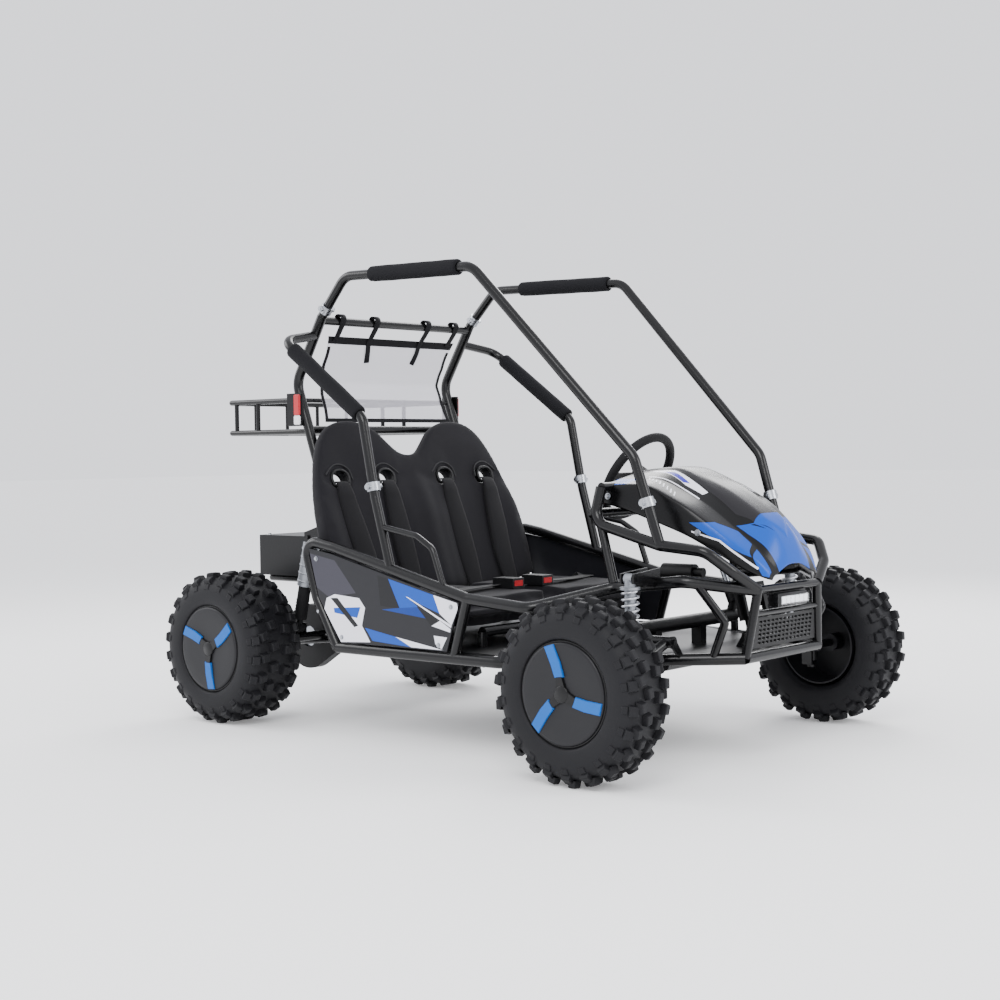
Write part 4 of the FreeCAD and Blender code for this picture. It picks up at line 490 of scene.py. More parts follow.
# Vacuum-formed ABS keeps a bright, slightly wavy gloss, and the films lie flush in it.
cowl_film, tree, shader, black_base = finish_of("gloss_abs_with_films", "#040405", 0.26, mottle=0.4,
                                                Specular_IOR_Level=0.24)
place = node(tree, "ShaderNodeTexCoord").outputs["Object"]
part = node(tree, "ShaderNodeSeparateXYZ", [(0, place)])
station = node(tree, "ShaderNodeMath", [(0, part.outputs[0]), (1, FRONT_AXLE)],
               operation="SUBTRACT").outputs[0]
width = node(tree, "ShaderNodeMath", [(0, part.outputs[1])], operation="ABSOLUTE").outputs[0]
# Films seen from above: millimetres ahead of the front axle, and out from the middle.
top_films = [(SMOKE, [(-180, -5), (-180, 60), (-40, 64), (-40, -5)]),
             (SMOKE, [(-50, -5), (-50, 62), (37, 80), (111, 80), (152, 64), (152, -5)]),
             (WHITE, [(-132, 78), (-69, 66), (38, 84), (32, 99), (-12, 103)]),
             (VIOLET, [(-96, 83), (-62, 75), (-8, 90), (-22, 99)]),
             (WHITE, [(-104, 120), (-104, 124), (34, 117), (34, 113)]),
             (BLUE, [(152, -5), (150, 66), (224, 66), (224, -5)]),
             (BLUE, [(150, 66), (224, 66), (152, 92), (124, 99)]),
             (COAL, [(152, 66), (146, 74), (168, 58), (175, 52)]),
             (COAL, [(172, 47), (160, 58), (184, 40), (188, 36)])]
# Films seen from the side: millimetres ahead of the front axle, and up from the ground.
side_films = [(BLUE, [(54, 553), (98, 553), (134, 530), (166, 503), (184, 474), (168, 482), (104, 520)]),
              (BLUE, [(178, 492), (214, 462), (214, 428), (204, 432)]),
              (WHITE, [(60, 531), (60, 534.5), (122, 514), (122, 510)]),
              (WHITE, [(120, 511), (122, 514.5), (170, 474), (168, 470)]),
              (WHITE, [(167, 471), (170, 474), (198, 450), (196, 446)]),
              (BLUE, [(-178, 650), (-140, 656), (-118, 656), (-116, 641), (-150, 638)])]


def in_metres(films):
    """Films whose outlines were given in millimetres."""
    return [(code, [(x / 1000, y / 1000) for x, y in outline]) for code, outline in films]


top_colour = printed(tree, station, width, black_base, in_metres(top_films))
side_colour = printed(tree, station, part.outputs[2], black_base, in_metres(side_films))
# The shoulder crease, where the one sheet of film ends and the other starts, draws in ahead.
crease = node(tree, "ShaderNodeMath", [(0, station), (1, 0.13), (2, width)],
              operation="MULTIPLY_ADD").outputs[0]
on_flank = above(tree, crease, 0.124)
whole = node(tree, "ShaderNodeMix", [(0, on_flank), (6, top_colour), (7, side_colour)],
             data_type="RGBA").outputs[2]
tree.links.new(whole, shader.inputs["Base Color"])


def through(values, share):
    """A smooth curve through evenly spaced values, at a share from 0 to 1 of its length."""
    spot = share * (len(values) - 1)
    index = min(int(spot), len(values) - 2)
    t = spot - index
    before, a, b, after = [values[min(max(index + i, 0), len(values) - 1)] for i in (-1, 0, 1, 2)]
    return a + 0.5 * t * (b - before + t * (2 * before - 5 * a + 4 * b - after
                                            + t * (3 * (a - b) + after - before)))


def rounded_line(corners, passes):
    """A polyline with its inner corners cut round."""
    for _ in range(passes):
        cut = [corners[0]]
        for a, b in zip(corners, corners[1:]):
            cut += [a.lerp(b, 0.25), a.lerp(b, 0.75)]
        corners = cut + [corners[-1]]
    return corners


# Each rib: millimetres ahead of the front axle, half widths low and high, and the heights
# of its foot, shoulder and crown.
RIBS = [(-175, 211, 150, 598, 652, 671), (-118, 209, 141, 585, 653, 677), (-60, 205, 128, 566, 650, 677),
        (0, 199, 119, 545, 624, 657), (60, 190, 112, 520, 590, 629), (130, 168, 104, 478, 536, 585),
        (168, 147, 98, 452, 504, 556), (192, 130, 92, 438, 480, 528), (210, 112, 80, 428, 456, 492),
        (218, 98, 68, 424, 440, 458)]
LENGTHS = 72
grid = []
for step in range(LENGTHS + 1):
    share = step / LENGTHS
    ahead, low_half, high_half, foot, shoulder, crown = [
        through([rib[column] for rib in RIBS], share) / 1000 for column in range(6)]
    half = [Vector((low_half * 0.985, foot)), Vector((low_half, foot + 0.004)),
            Vector((low_half * 0.975, shoulder - 0.013)), Vector((low_half * 0.93, shoulder - 0.007)),
            Vector((high_half * 1.03, shoulder)), Vector((high_half * 0.97, shoulder + 0.003)),
            Vector((high_half * 0.46, crown - 0.002)), Vector((high_half * 0.2, crown)),
            Vector((0.0, crown))]
    half = rounded_line(half, 3)
    # The raised panel down the middle widens ahead of the wheel and fades out at the nose.
    ridge = ((0.062 + 0.018 * min(max((ahead + 0.05) / 0.087, 0), 1))
             * min(1, max(0, (0.20 - ahead) / 0.06)))
    line = []
    for spot in half:
        rise = min(max((ridge - spot.x) / 0.007, 0), 1)
        line.append(Vector((spot.x, spot.y - 0.0035 + 0.0035 * rise * rise * (3 - 2 * rise))))
    other_half = [Vector((-spot.x, spot.y)) for spot in line[-2::-1]]
    grid.append([Vector((FRONT_AXLE + ahead, -spot.x, spot.y)) for spot in line + other_half])
points = [spot for line in grid for spot in line]
count = len(grid[0])
faces = [(step * count + i, step * count + i + 1, (step + 1) * count + i + 1, (step + 1) * count + i)
         for step in range(LENGTHS) for i in range(count - 1)]
cowl = cleaned(mesh_piece("cowl_shell", points, faces, cowl_film, "frame", "cowl_plastic"))
if sum(face.normal.z * face.area for face in cowl.data.polygons) < 0:
    cowl.data.flip_normals()
wall = cowl.modifiers.new("wall", "SOLIDIFY")
wall.thickness = 0.003
wall.offset = -1
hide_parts("hood")

# ---------------------------------------------------------------- side panels
# Flat moulded panels inside the side rails, satin charcoal with blue, white and grey films
# on their outer faces. Their inner faces are bare.

# Moulded ABS with a fine satin texture, under thin printed films.
panel_film, tree, shader, panel_base = finish_of("charcoal_panel_with_films", "#17171B", 0.34, grain_mm=3.0,
                                                 relief=0.03, mottle=0.2, Specular_IOR_Level=0.3)
GREY_VIOLET = "#35343D"
DEEP_BLUE = "#003282"
SHADE = "#0C0C10"
# Millimetres along the kart and up from the ground, each outline convex.
panel_films = [
    (GREY_VIOLET, [(-323, 466), (-227, 450), (-152, 370), (-252, 357), (-300, 382)]),
    (WHITE, [(-258, 353), (-229, 364), (-141, 358), (-120, 335), (-132, 290), (-276, 297)]),
    (WHITE, [(-276, 297), (-132, 290), (-103, 250), (-210, 244), (-254, 267)]),
    (BLUE, [(-233, 329), (-136, 336), (-148, 308), (-230, 317)]),
    (SHADE, [(-244, 354), (-218, 355), (-145, 289), (-159, 284)]),
    (SHADE, [(-75, 418), (-38, 411), (2, 339), (-66, 343)]),
    (BLUE, [(-38, 411), (113, 378), (133, 334), (21, 368)]),
    (BLUE, [(-38, 411), (60, 348), (59, 344), (0, 341)]),
    (DEEP_BLUE, [(-61, 334), (0, 341), (59, 346), (89, 320)]),
    (WHITE, [(21, 370), (29, 369), (171, 308), (169, 302)]),
    (WHITE, [(113, 378), (189, 362), (192, 349), (171, 308), (133, 334)]),
    (SHADE, [(59, 346), (134, 318), (104, 304), (89, 318)]),
    (WHITE, [(134, 317), (168, 299), (166, 291), (106, 303)]),
    (WHITE, [(113, 280), (156, 278), (138, 249), (118, 260)]),
    (BLUE, [(-121, 285), (-15, 269), (42, 259), (37, 247), (-95, 254)]),
    (WHITE, [(-15, 269), (143, 247), (37, 247)])]
part = node(tree, "ShaderNodeSeparateXYZ", [(0, node(tree, "ShaderNodeTexCoord").outputs["Object"])])
facing = node(tree, "ShaderNodeNewGeometry").outputs["True Normal"]
tilt = node(tree, "ShaderNodeSeparateXYZ", [(0, facing)])
filmed = printed(tree, part.outputs[0], part.outputs[2], panel_base, in_metres(panel_films))
outwards = node(tree, "ShaderNodeMath", [(0, tilt.outputs[1]), (1, part.outputs[1])],
                operation="MULTIPLY").outputs[0]
whole = node(tree, "ShaderNodeMix", [(0, above(tree, outwards, 0.2)), (6, panel_base), (7, filmed)],
             data_type="RGBA").outputs[2]
tree.links.new(whole, shader.inputs["Base Color"])
smooth_cad("side_panels", panel_film)

# ---------------------------------------------------------------- seat back and cushions
# One moulded foam back for two riders in a stretched charcoal polyester cover, with belt
# slots faced in black plastic, and a boxed cushion for each rider.

# Knitted polyester scatters light and has hardly any shine; its yarn is drawn at 2.2 mm.
seat_cloth = finish_of("polyester_seat_cover", "#111014", 0.86, grain_mm=2.2, relief=0.25, mottle=0.3,
                       Sheen_Weight=0.06, Specular_IOR_Level=0.2)[0]
SEAT_TOP = Vector((-0.4185, 0, 0.812))
SEAT_DOWN = Vector((0.322, 0, -0.947))
SEAT_OUT = Vector((0.947, 0, 0.322))
RIDER_Y = 0.205
SLOT_DOWN = 0.171


def on_seat(across, down, out):
    """A point given on the back: across the kart, down its slope, and out from its middle plane."""
    return SEAT_TOP + Vector((0, across, 0)) + SEAT_DOWN * down + SEAT_OUT * out


def loose(mesh):
    """The points and faces of a mesh."""
    return [vert.co.copy() for vert in mesh.vertices], [tuple(face.vertices) for face in mesh.polygons]


def remeshed(name, points, faces, cell):
    """A closed rough mesh remade in even cells."""
    mesh = bpy.data.meshes.new(name + "_rough")
    mesh.from_pydata([tuple(p) for p in points], [], faces)
    rough = shown_as(name + "_rough", mesh)
    even = rough.modifiers.new("even", "REMESH")
    even.mode = "VOXEL"
    even.voxel_size = cell
    return loose(plain_mesh(rough))


def prism_with_slots(outline, slots, half_thick, round_off):
    """A flat plate of an outline with slots, its edges rounded, in its own plane."""
    curve = bpy.data.curves.new("plate", "CURVE")
    curve.dimensions = "2D"
    curve.fill_mode = "BOTH"
    for ring in [outline] + slots:
        spline = curve.splines.new("POLY")
        spline.points.add(len(ring) - 1)
        for index, (x, y) in enumerate(ring):
            spline.points[index].co = (x, y, 0, 1)
        spline.use_cyclic_u = True
    curve.extrude = half_thick - round_off
    curve.bevel_depth = round_off
    curve.bevel_resolution = 3
    curve.offset = -round_off
    return loose(plain_mesh(shown_as("plate", curve)))


def closed_round(corners, passes):
    """A closed outline with its corners cut round."""
    for _ in range(passes):
        cut = []
        for a, b in zip(corners, corners[1:] + corners[:1]):
            cut += [a.lerp(b, 0.25), a.lerp(b, 0.75)]
        corners = cut
    return corners


def step_up(value, low, high):
    """A soft step from 0 at low to 1 at high."""
    share = min(max((value - low) / (high - low), 0), 1)
    return share * share * (3 - 2 * share)


def puffed(piece, force, cap):
    """Inflates a cover over its foam a little, no further than cap, and keeps the result."""
    before = [vert.co.copy() for vert in piece.data.vertices]
    cloth = piece.modifiers.new("cover", "CLOTH")
    cloth.settings.use_pressure = True
    cloth.settings.uniform_pressure_force = force
    cloth.settings.effector_weights.gravity = 0
    cloth.settings.tension_stiffness = cloth.settings.compression_stiffness = 25
    cloth.settings.bending_stiffness = 4
    cloth.point_cache.frame_start = 1
    cloth.point_cache.frame_end = 20
    for step in range(1, 21):
        bpy.context.scene.frame_set(step)
    made = bpy.data.meshes.new_from_object(piece.evaluated_get(bpy.context.evaluated_depsgraph_get()))
    piece.modifiers.clear()
    for vert, old, new in zip(piece.data.vertices, before, made.vertices):
        move = new.co - old
        vert.co = old + (move if move.length < cap else move.normalized() * cap)
    bpy.data.meshes.remove(made)
    bpy.context.scene.frame_set(1)


# The right half of the back's outline: metres out from the middle, and up from the ground.
half = [(0.0, 0.714), (0.040, 0.722), (0.072, 0.748), (0.112, 0.784), (0.158, 0.804), (0.205, 0.809),
        (0.263, 0.803), (0.310, 0.775), (0.346, 0.722), (0.372, 0.652), (0.392, 0.562), (0.398, 0.482),
        (0.394, 0.395), (0.384, 0.340)]
half = [Vector((across, (up - SEAT_TOP.z) / -SEAT_DOWN.z)) for across, up in half]
outline = closed_round(half + [Vector((-spot.x, spot.y)) for spot in half[:0:-1]], 2)
SLOT_CENTRES = (-0.290, -0.118, 0.118, 0.290)
SEAT_HALF_THICK = 0.0165
corners = [(-0.024, -0.021), (0.024, -0.021), (0.030, -0.013), (0.031, 0.006), (0.020, 0.019),
           (0.0, 0.023), (-0.020, 0.019), (-0.031, 0.006), (-0.030, -0.013)]
slot_shapes = [closed_round([Vector((centre + x, y - SLOT_DOWN)) for x, y in corners], 1)
               for centre in SLOT_CENTRES]
points, faces = prism_with_slots(outline, slot_shapes, SEAT_HALF_THICK, 0.010)
points, faces = remeshed("seat_back", points, faces, 0.007)
# Each rider's half is hollow down its middle, and swells at its wings and between the riders.
shaped = []
for spot in points:
    lateral = abs(abs(spot.x) - RIDER_Y)
    down = -spot.y
    front = step_up(spot.z, -0.004, 0.008)
    wing = step_up(lateral, 0.085, 0.165) * step_up(down, 0.16, 0.30)
    middle = step_up(abs(spot.x), 0.05, 0.0) * step_up(down, 0.14, 0.22)
    hollow = step_up(lateral, 0.11, 0.02) * step_up(down, 0.06, 0.16)
    relief = 0.011 * wing + 0.006 * middle - 0.007 * hollow
    relief += 0.0016 * noise.noise(Vector((spot.x * 9, spot.y * 6, 3.1)))
    shaped.append(on_seat(spot.x, down, spot.z + relief * front))
seat = mesh_piece("seat_back_cover", shaped, faces, seat_cloth, "frame", "seat_fabric")
puffed(seat, 3.0, 0.003)
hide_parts("seat_back")


def tube_line(name, path, radius, material, body, closed=False):
    """A round cord or bead along a polyline."""
    curve = bpy.data.curves.new(name, "CURVE")
    curve.dimensions = "3D"
    curve.bevel_depth = radius
    curve.bevel_resolution = 2
    spline = curve.splines.new("POLY")
    spline.points.add(len(path) - 1)
    for index, spot in enumerate(path):
        spline.points[index].co = (*spot, 1)
    spline.use_cyclic_u = closed
    curve.use_fill_caps = True
    made = plain_mesh(shown_as(name, curve))
    piece = shown_as(name, made)
    for face in made.polygons:
        face.use_smooth = True
    made.materials.clear()
    made.materials.append(material)
    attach(piece, body)


# Folded vinyl piping, with a soft shine.
piping = finish_of("black_piping", "#0C0C0F", 0.7, grain_mm=3.0, relief=0.1, mottle=0.3)[0]
arch = rounded_line([Vector((-0.044, -0.006)), Vector((-0.040, 0.024)), Vector((-0.010, 0.040)),
                     Vector((0.020, 0.036)), Vector((0.050, 0.010))], 3)
for index, centre in enumerate(SLOT_CENTRES):
    ring = [on_seat(spot.x, -spot.y, 0.0175) for spot in slot_shapes[index]]
    tube_line("slot_rim_%d" % index, ring, 0.0042, nylon_and_painted_shade, "frame", closed=True)
    lean = (1 if abs(centre) > 0.2 else -1) * (1 if centre > 0 else -1)
    tube_line("slot_arch_%d" % index, [on_seat(centre + lean * spot.x, SLOT_DOWN - spot.y, 0.0172)
                                       for spot in arch], 0.0024, piping, "frame")
points, faces = [], []
for ring in slot_shapes:
    base = len(points)
    points += [on_seat(spot.x, -spot.y, depth) for depth in (-SEAT_HALF_THICK, SEAT_HALF_THICK)
               for spot in ring]
    count = len(ring)
    faces += [(base + i, base + (i + 1) % count, base + count + (i + 1) % count, base + count + i)
              for i in range(count)]
mesh_piece("slot_walls", points, faces, nylon_and_painted_shade, "frame", "black_plastic")

low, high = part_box("seat_cushions")
for side, sign in (("right", -1), ("left", 1)):
    centre = Vector(((low.x + high.x) / 2, sign * (0.008 + high.y) / 2, (low.z + high.z) / 2))
    size = Vector((high.x - low.x, high.y - 0.008, high.z - low.z)) - Vector((0.012, 0.012, 0.012))
    bm = bmesh.new()
    bmesh.ops.create_cube(bm, size=1.0)
    bmesh.ops.transform(bm, matrix=Matrix.Diagonal((*size, 1)), verts=bm.verts)
    bmesh.ops.bevel(bm, geom=list(bm.edges), offset=0.024, segments=4, affect="EDGES")
    points, faces = remeshed("cushion", *points_and_faces(bm), 0.006)
    shaped = []
    for spot in points:
        top = step_up(spot.z, 0.0, 0.02)
        sit = step_up(Vector((spot.x / 0.16, spot.y / 0.13)).length, 1.1, 0.2)
        shaped.append(centre + spot + Vector((0, 0, top * (0.002 - 0.008 * sit
                                                           + 0.0015 * noise.noise(spot * 11)))))
    cushion = mesh_piece("cushion_cover_" + side, shaped, faces, seat_cloth, "frame", "seat_fabric")
    puffed(cushion, 4.0, 0.004)
    if side == "right":
        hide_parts("seat_cushions")
    for x in (-0.06, 0.06):
        line = [centre + Vector((x, size.y * 0.40 * t, size.z / 2 - 0.0035 + 0.0015 * abs(t)))
                for t in (-1, -0.6, -0.2, 0.2, 0.6, 1)]
        tube_line("cushion_seam_%s_%s" % (side, "back" if x < 0 else "front"), line, 0.0014, piping,
                  "frame")

# ---------------------------------------------------------------- belts and buckles
# Woven black polyester webbing 44 mm wide. The shoulder belts run in quilted sleeves, which
# come out of the slots, hang down the back and tuck in behind the cushions.

# Webbing is woven in ribs across the band, which catch the light in fine lines.
webbing, tree, shader, _ = finish_of("polyester_webbing", "#08080A", 0.72, mottle=0.3,
                                     Sheen_Weight=0.05)
ribs = node(tree, "ShaderNodeTexWave", [("Vector", node(tree, "ShaderNodeTexCoord").outputs["Object"]),
                                        ("Scale", 140.0), ("Distortion", 0.6)], bands_direction="Y")
bump = node(tree, "ShaderNodeBump", [("Strength", 0.25), ("Distance", 0.0006), ("Height", ribs.outputs[1])])
tree.links.new(bump.outputs[0], shader.inputs["Normal"])


def strap(name, stations, material, slot, body="frame", steps=60):
    """A flat band through stations of (point, side, half width, half thickness), its edges rounded."""
    points, faces = [], []
    columns = list(zip(*[(*spot, *side, wide, thick) for spot, side, wide, thick in stations]))
    centres = [Vector([through(columns[i], step / steps) for i in range(3)]) for step in range(steps + 1)]
    ring = [(math.cos(a), math.sin(a)) for a in [2 * math.pi * i / 16 for i in range(16)]]
    for step in range(steps + 1):
        share = step / steps
        along = centres[min(step + 1, steps)] - centres[max(step - 1, 0)]
        side = Vector([through(columns[i], share) for i in range(3, 6)])
        side = (side - along * (side.dot(along) / along.length_squared)).normalized()
        face = along.normalized().cross(side)
        wide, thick = through(columns[6], share), through(columns[7], share)
        for c, s in ring:
            x = math.copysign(abs(c) ** 0.45, c)
            y = math.copysign(abs(s) ** 0.8, s)
            points.append(centres[step] + side * (x * wide) + face * (y * thick))
    for step in range(steps):
        near, far = 16 * step, 16 * (step + 1)
        faces += [(near + i, near + (i + 1) % 16, far + (i + 1) % 16, far + i) for i in range(16)]
    faces += [tuple(range(15, -1, -1)), tuple(range(16 * steps, 16 * steps + 16))]
    return cleaned(mesh_piece(name, points, faces, material, body, slot))


# The sleeves are a brushed knit, softer than the webbing that they cover.
sleeve_cloth = finish_of("quilted_belt_sleeve", "#0B0A0D", 0.84, grain_mm=3.0, relief=0.2, mottle=0.3,
                         Sheen_Weight=0.06, Specular_IOR_Level=0.2)[0]
for index, across in enumerate(SLOT_CENTRES):
    inward = 0.94 if abs(across) > 0.2 else 1.02
    lip = SLOT_DOWN + 0.012
    run = [(on_seat(across, lip - 0.012, -0.030), Y_WAY, 0.022, 0.0016),
           (on_seat(across, lip - 0.006, 0.004), Y_WAY, 0.022, 0.0016),
           (on_seat(across, lip + 0.004, 0.0215), Y_WAY, 0.022, 0.0022),
           (on_seat(across, lip + 0.030, 0.0245), Y_WAY, 0.027, 0.005),
           (on_seat(across * 0.995, lip + 0.060, 0.0225), Y_WAY, 0.031, 0.0065),
           (on_seat(across * (0.5 + 0.5 * inward), lip + 0.14, 0.0225), Y_WAY, 0.036, 0.007),
           (on_seat(across * inward, lip + 0.22, 0.022), Y_WAY, 0.036, 0.007),
           (on_seat(across * inward, lip + 0.285, 0.024), Y_WAY, 0.031, 0.0045),
           (on_seat(across * inward, lip + 0.325, 0.026), Y_WAY, 0.024, 0.002)]
    sleeve = strap("shoulder_sleeve_%d" % index, run, sleeve_cloth, "webbing")
    if index == 0:
        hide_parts("harness_belts")
low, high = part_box("seat_cushions")
for side, sign in (("right", -1), ("left", 1)):
    x = low.x + 0.19
    # Forward of x, out from the middle, up from the cushion, and which way the band faces.
    lap = [(Vector((x + ahead, sign * across, high.z + up)), Vector((fore, sign * aside, 0)), 0.022, 0.0014)
           for ahead, across, up, fore, aside in (
               (-0.10, 0.395, -0.050, 1, 0), (-0.04, 0.385, -0.004, 1, 0), (0.0, 0.350, 0.0035, 1, 0),
               (0.012, 0.25, 0.002, 1, 0.06), (0.004, 0.15, 0.004, 1, 0), (0.030, 0.088, 0.008, 0.8, 0.6),
               (0.040, 0.066, 0.012, 0.7, 0.7))]
    strap("lap_belt_" + side, lap, webbing, "webbing")
# Moulded ABS: a satin black case and a brighter, smooth red button.
buckle_plastic = finish_of("black_abs_buckle", "#08080A", 0.35, grain_mm=2.5, relief=0.05, mottle=0.2)[0]
red_plastic = finish_of("red_abs_button", "#B8101C", 0.32, grain_mm=3.0, relief=0.02, mottle=0.1)[0]
rounded = smooth_cad("buckles", buckle_plastic)
soften = rounded.modifiers.new("soften", "BEVEL")
soften.width = 0.003
soften.segments = 3
for side in ("right", "left"):
    smooth_cad("release_button_" + side, red_plastic)

# ---------------------------------------------------------------- wind screen behind the riders
# A sheet of light grey polyester mesh 0.50 m wide, held stretched behind the seats between the
# uprights: black bound hems, and four ties to the top bar, the middle two with loose ends.

# The open weave lets over a third of the light through; its threads are drawn 2.4 mm apart.
screen_mesh, tree, shader, _ = finish_of("polyester_screen_mesh", "#C9C7CF", 0.7, mottle=0.05,
                                         Specular_IOR_Level=0.2, Alpha=0.62)
place = node(tree, "ShaderNodeTexCoord").outputs["Object"]
weave = node(tree, "ShaderNodeTexChecker", [("Vector", place), ("Scale", 420.0)])
thread = node(tree, "ShaderNodeBump", [("Strength", 0.2), ("Distance", 0.0008),
                                       ("Height", weave.outputs[1])])
tree.links.new(thread.outputs[0], shader.inputs["Normal"])
hem_cloth = finish_of("black_hem_cloth", "#0B0B0E", 0.8, grain_mm=2.0, relief=0.2, mottle=0.3,
                      Specular_IOR_Level=0.2)[0]
SCREEN_LINE = [Vector((-0.4270, 0, 1.0365)), Vector((-0.4860, 0, 0.9140)), Vector((-0.4430, 0, 0.8060))]
SCREEN_HALF = 0.250


def on_screen(across, share, out=0.0):
    """A point on the cloth: a share from -1 to 1 across it, from 0 at the top to 1 at the foot."""
    first = (SCREEN_LINE[1] - SCREEN_LINE[0]).length
    second = (SCREEN_LINE[2] - SCREEN_LINE[1]).length
    run = share * (first + second)
    if run < first:
        spot = SCREEN_LINE[0].lerp(SCREEN_LINE[1], run / first)
    else:
        spot = SCREEN_LINE[1].lerp(SCREEN_LINE[2], (run - first) / second)
    bend = math.exp(-((run - first) / 0.03) ** 2)
    pull = 0.010 * math.sin(math.pi * share) + 0.004 * abs(math.sin(3 * math.pi * share))
    sag = 0.004 * math.sin(math.pi * share) * math.cos(1.5 * across) + 0.0018 * noise.noise(
        Vector((across * 3, share * 4, 0.5)))
    return spot + Vector((0.006 * bend + sag + out, across * (SCREEN_HALF - pull), 0))


def cloth_patch(name, low, high, top, foot, columns, rows, out, material, slot="screen_cloth"):
    """A part of the cloth between two shares across it and two shares down it."""
    points = [on_screen(low + (high - low) * c / columns, top + (foot - top) * r / rows, out)
              for r in range(rows + 1) for c in range(columns + 1)]
    wide = columns + 1
    faces = [(r * wide + c, r * wide + c + 1, (r + 1) * wide + c + 1, (r + 1) * wide + c)
             for r in range(rows) for c in range(columns)]
    return mesh_piece(name, points, faces, material, "frame", slot)


screen = cloth_patch("screen_cloth", -1, 1, 0, 1, 48, 36, 0, screen_mesh)
hems = [cloth_patch("screen_top_hem", -1, 1, 0, 0.085, 48, 4, 0.0012, hem_cloth),
        cloth_patch("screen_foot_hem", -1, 1, 0.955, 1, 48, 3, 0.0012, hem_cloth),
        cloth_patch("screen_hem_right", -1, -0.955, 0.12, 1, 2, 30, 0.0014, hem_cloth),
        cloth_patch("screen_hem_left", 0.955, 1, 0.12, 1, 2, 30, 0.0014, hem_cloth)]
TOP_BAR = Vector((-0.4045, 0, 1.0815))
BAR_RADIUS = 0.0122
for index, across in enumerate((-0.225, -0.095, 0.110, 0.225)):
    start = on_screen(across / SCREEN_HALF, 0.05, 0.003)
    beside = Vector((0, across, 0))
    lean = Vector((0, 0.004 if index % 2 else -0.003, 0))
    drop = [(TOP_BAR + beside + Vector((-0.008, 0, BAR_RADIUS)), Y_WAY, 0.010, 0.0009),
            (TOP_BAR + beside + Vector((BAR_RADIUS, 0, 0.004)), Y_WAY, 0.010, 0.0009),
            (TOP_BAR + beside + Vector((0.006, 0, -BAR_RADIUS - 0.004)), Y_WAY, 0.010, 0.0009),
            (start, Y_WAY, 0.009, 0.0009),
            (start + lean + Vector((-0.010, 0, -0.026)), Y_WAY, 0.009, 0.0009),
            (start + lean * 3 + Vector((-0.024, 0, -0.054)), Vector((0.3, 1, 0)), 0.008, 0.0009)]
    if index in (0, 3):
        drop = drop[:4]
    hems.append(strap("screen_tie_%d" % index, drop, hem_cloth, "screen_cloth", steps=30))
    loop = [(BAR_RADIUS + 0.0002, -0.010), (BAR_RADIUS + 0.0016, -0.010), (BAR_RADIUS + 0.0016, 0.010),
            (BAR_RADIUS + 0.0002, 0.010)]
    points, faces = closed_spin(loop, 28, TOP_BAR + beside)
    hems.append(cleaned(mesh_piece("screen_loop_%d" % index, points, faces, hem_cloth, "frame",
                                   "screen_cloth")))
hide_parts("rear_screen")

# ---------------------------------------------------------------- foam pads on the bars
# Closed-cell foam sleeves slit along their length, pushed over the tube and cut square.

# The foam's skin is matt and finely pitted.
foam = finish_of("closed_cell_foam", "#101013", 0.9, grain_mm=2.2, relief=0.3, mottle=0.35,
                 Specular_IOR_Level=0.2)[0]
PAD_RADIUS = 0.0208
PAD_BORE = 0.0127


def middle_of(spots):
    """The middle of the box round some points."""
    return Vector([max(spot[i] for spot in spots) + min(spot[i] for spot in spots) for i in range(3)]) / 2


# The four solids of the node are told apart, and each gives its sleeve's line and length.
islands = []
bm = bmesh.new()
bm.from_mesh(nodes["bar_pads"].data)
bmesh.ops.remove_doubles(bm, verts=bm.verts, dist=0.00002)
left_over = set(bm.verts)
while left_over:
    group = {left_over.pop()}
    growing = list(group)
    while growing:
        vert = growing.pop()
        for edge in vert.link_edges:
            other = edge.other_vert(vert)
            if other in left_over:
                left_over.discard(other)
                group.add(other)
                growing.append(other)
    islands.append([vert.co.copy() for vert in group])
bm.free()
for number, island in enumerate(islands):
    middle = sum(island, Vector()) / len(island)
    far = max(island, key=lambda spot: (spot - middle).length)
    way = (far - middle).normalized()
    for _ in range(4):
        reach = [spot.dot(way) for spot in island]
        one_end = middle_of([spot for spot, along in zip(island, reach) if along > max(reach) - 0.012])
        other_end = middle_of([spot for spot, along in zip(island, reach) if along < min(reach) + 0.012])
        way = (one_end - other_end).normalized()
    middle = (one_end + other_end) / 2
    half_long = (one_end - other_end).length / 2
    end = [(PAD_BORE, half_long), (PAD_RADIUS - 0.0035, half_long), (PAD_RADIUS - 0.001, half_long - 0.001),
           (PAD_RADIUS, half_long - 0.004)]
    profile = end + [(PAD_RADIUS, half_long * (1 - 2 * step / 24)) for step in range(1, 24)]
    profile += [(radius, -height) for radius, height in reversed(end)]
    points, faces = lathe(profile, 40, middle, way)
    shaped = []
    for spot in points:
        ray = spot - middle - way * (spot - middle).dot(way)
        skin = ray.length > PAD_RADIUS - 0.002
        dent = 0.0009 * noise.noise(spot * 22) - 0.0005 if skin else 0
        slit = 0.0016 if skin and ray.normalized().z < -0.985 else 0
        shaped.append(spot + ray.normalized() * (dent - slit))
    pad = cleaned(mesh_piece("foam_pad_%d" % number, shaped, faces, foam, "frame", "foam"))
    if number == 0:
        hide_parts("bar_pads")

# ---------------------------------------------------------------- lamps
# The front lamp is a black die-cast bar with a clear lens over six square LED cells.
# The tail lamps have a red lens over a white foot, on a black base.

LAMP_LOW, LAMP_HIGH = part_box("front_lamp")
lamp_middle = (LAMP_LOW + LAMP_HIGH) / 2
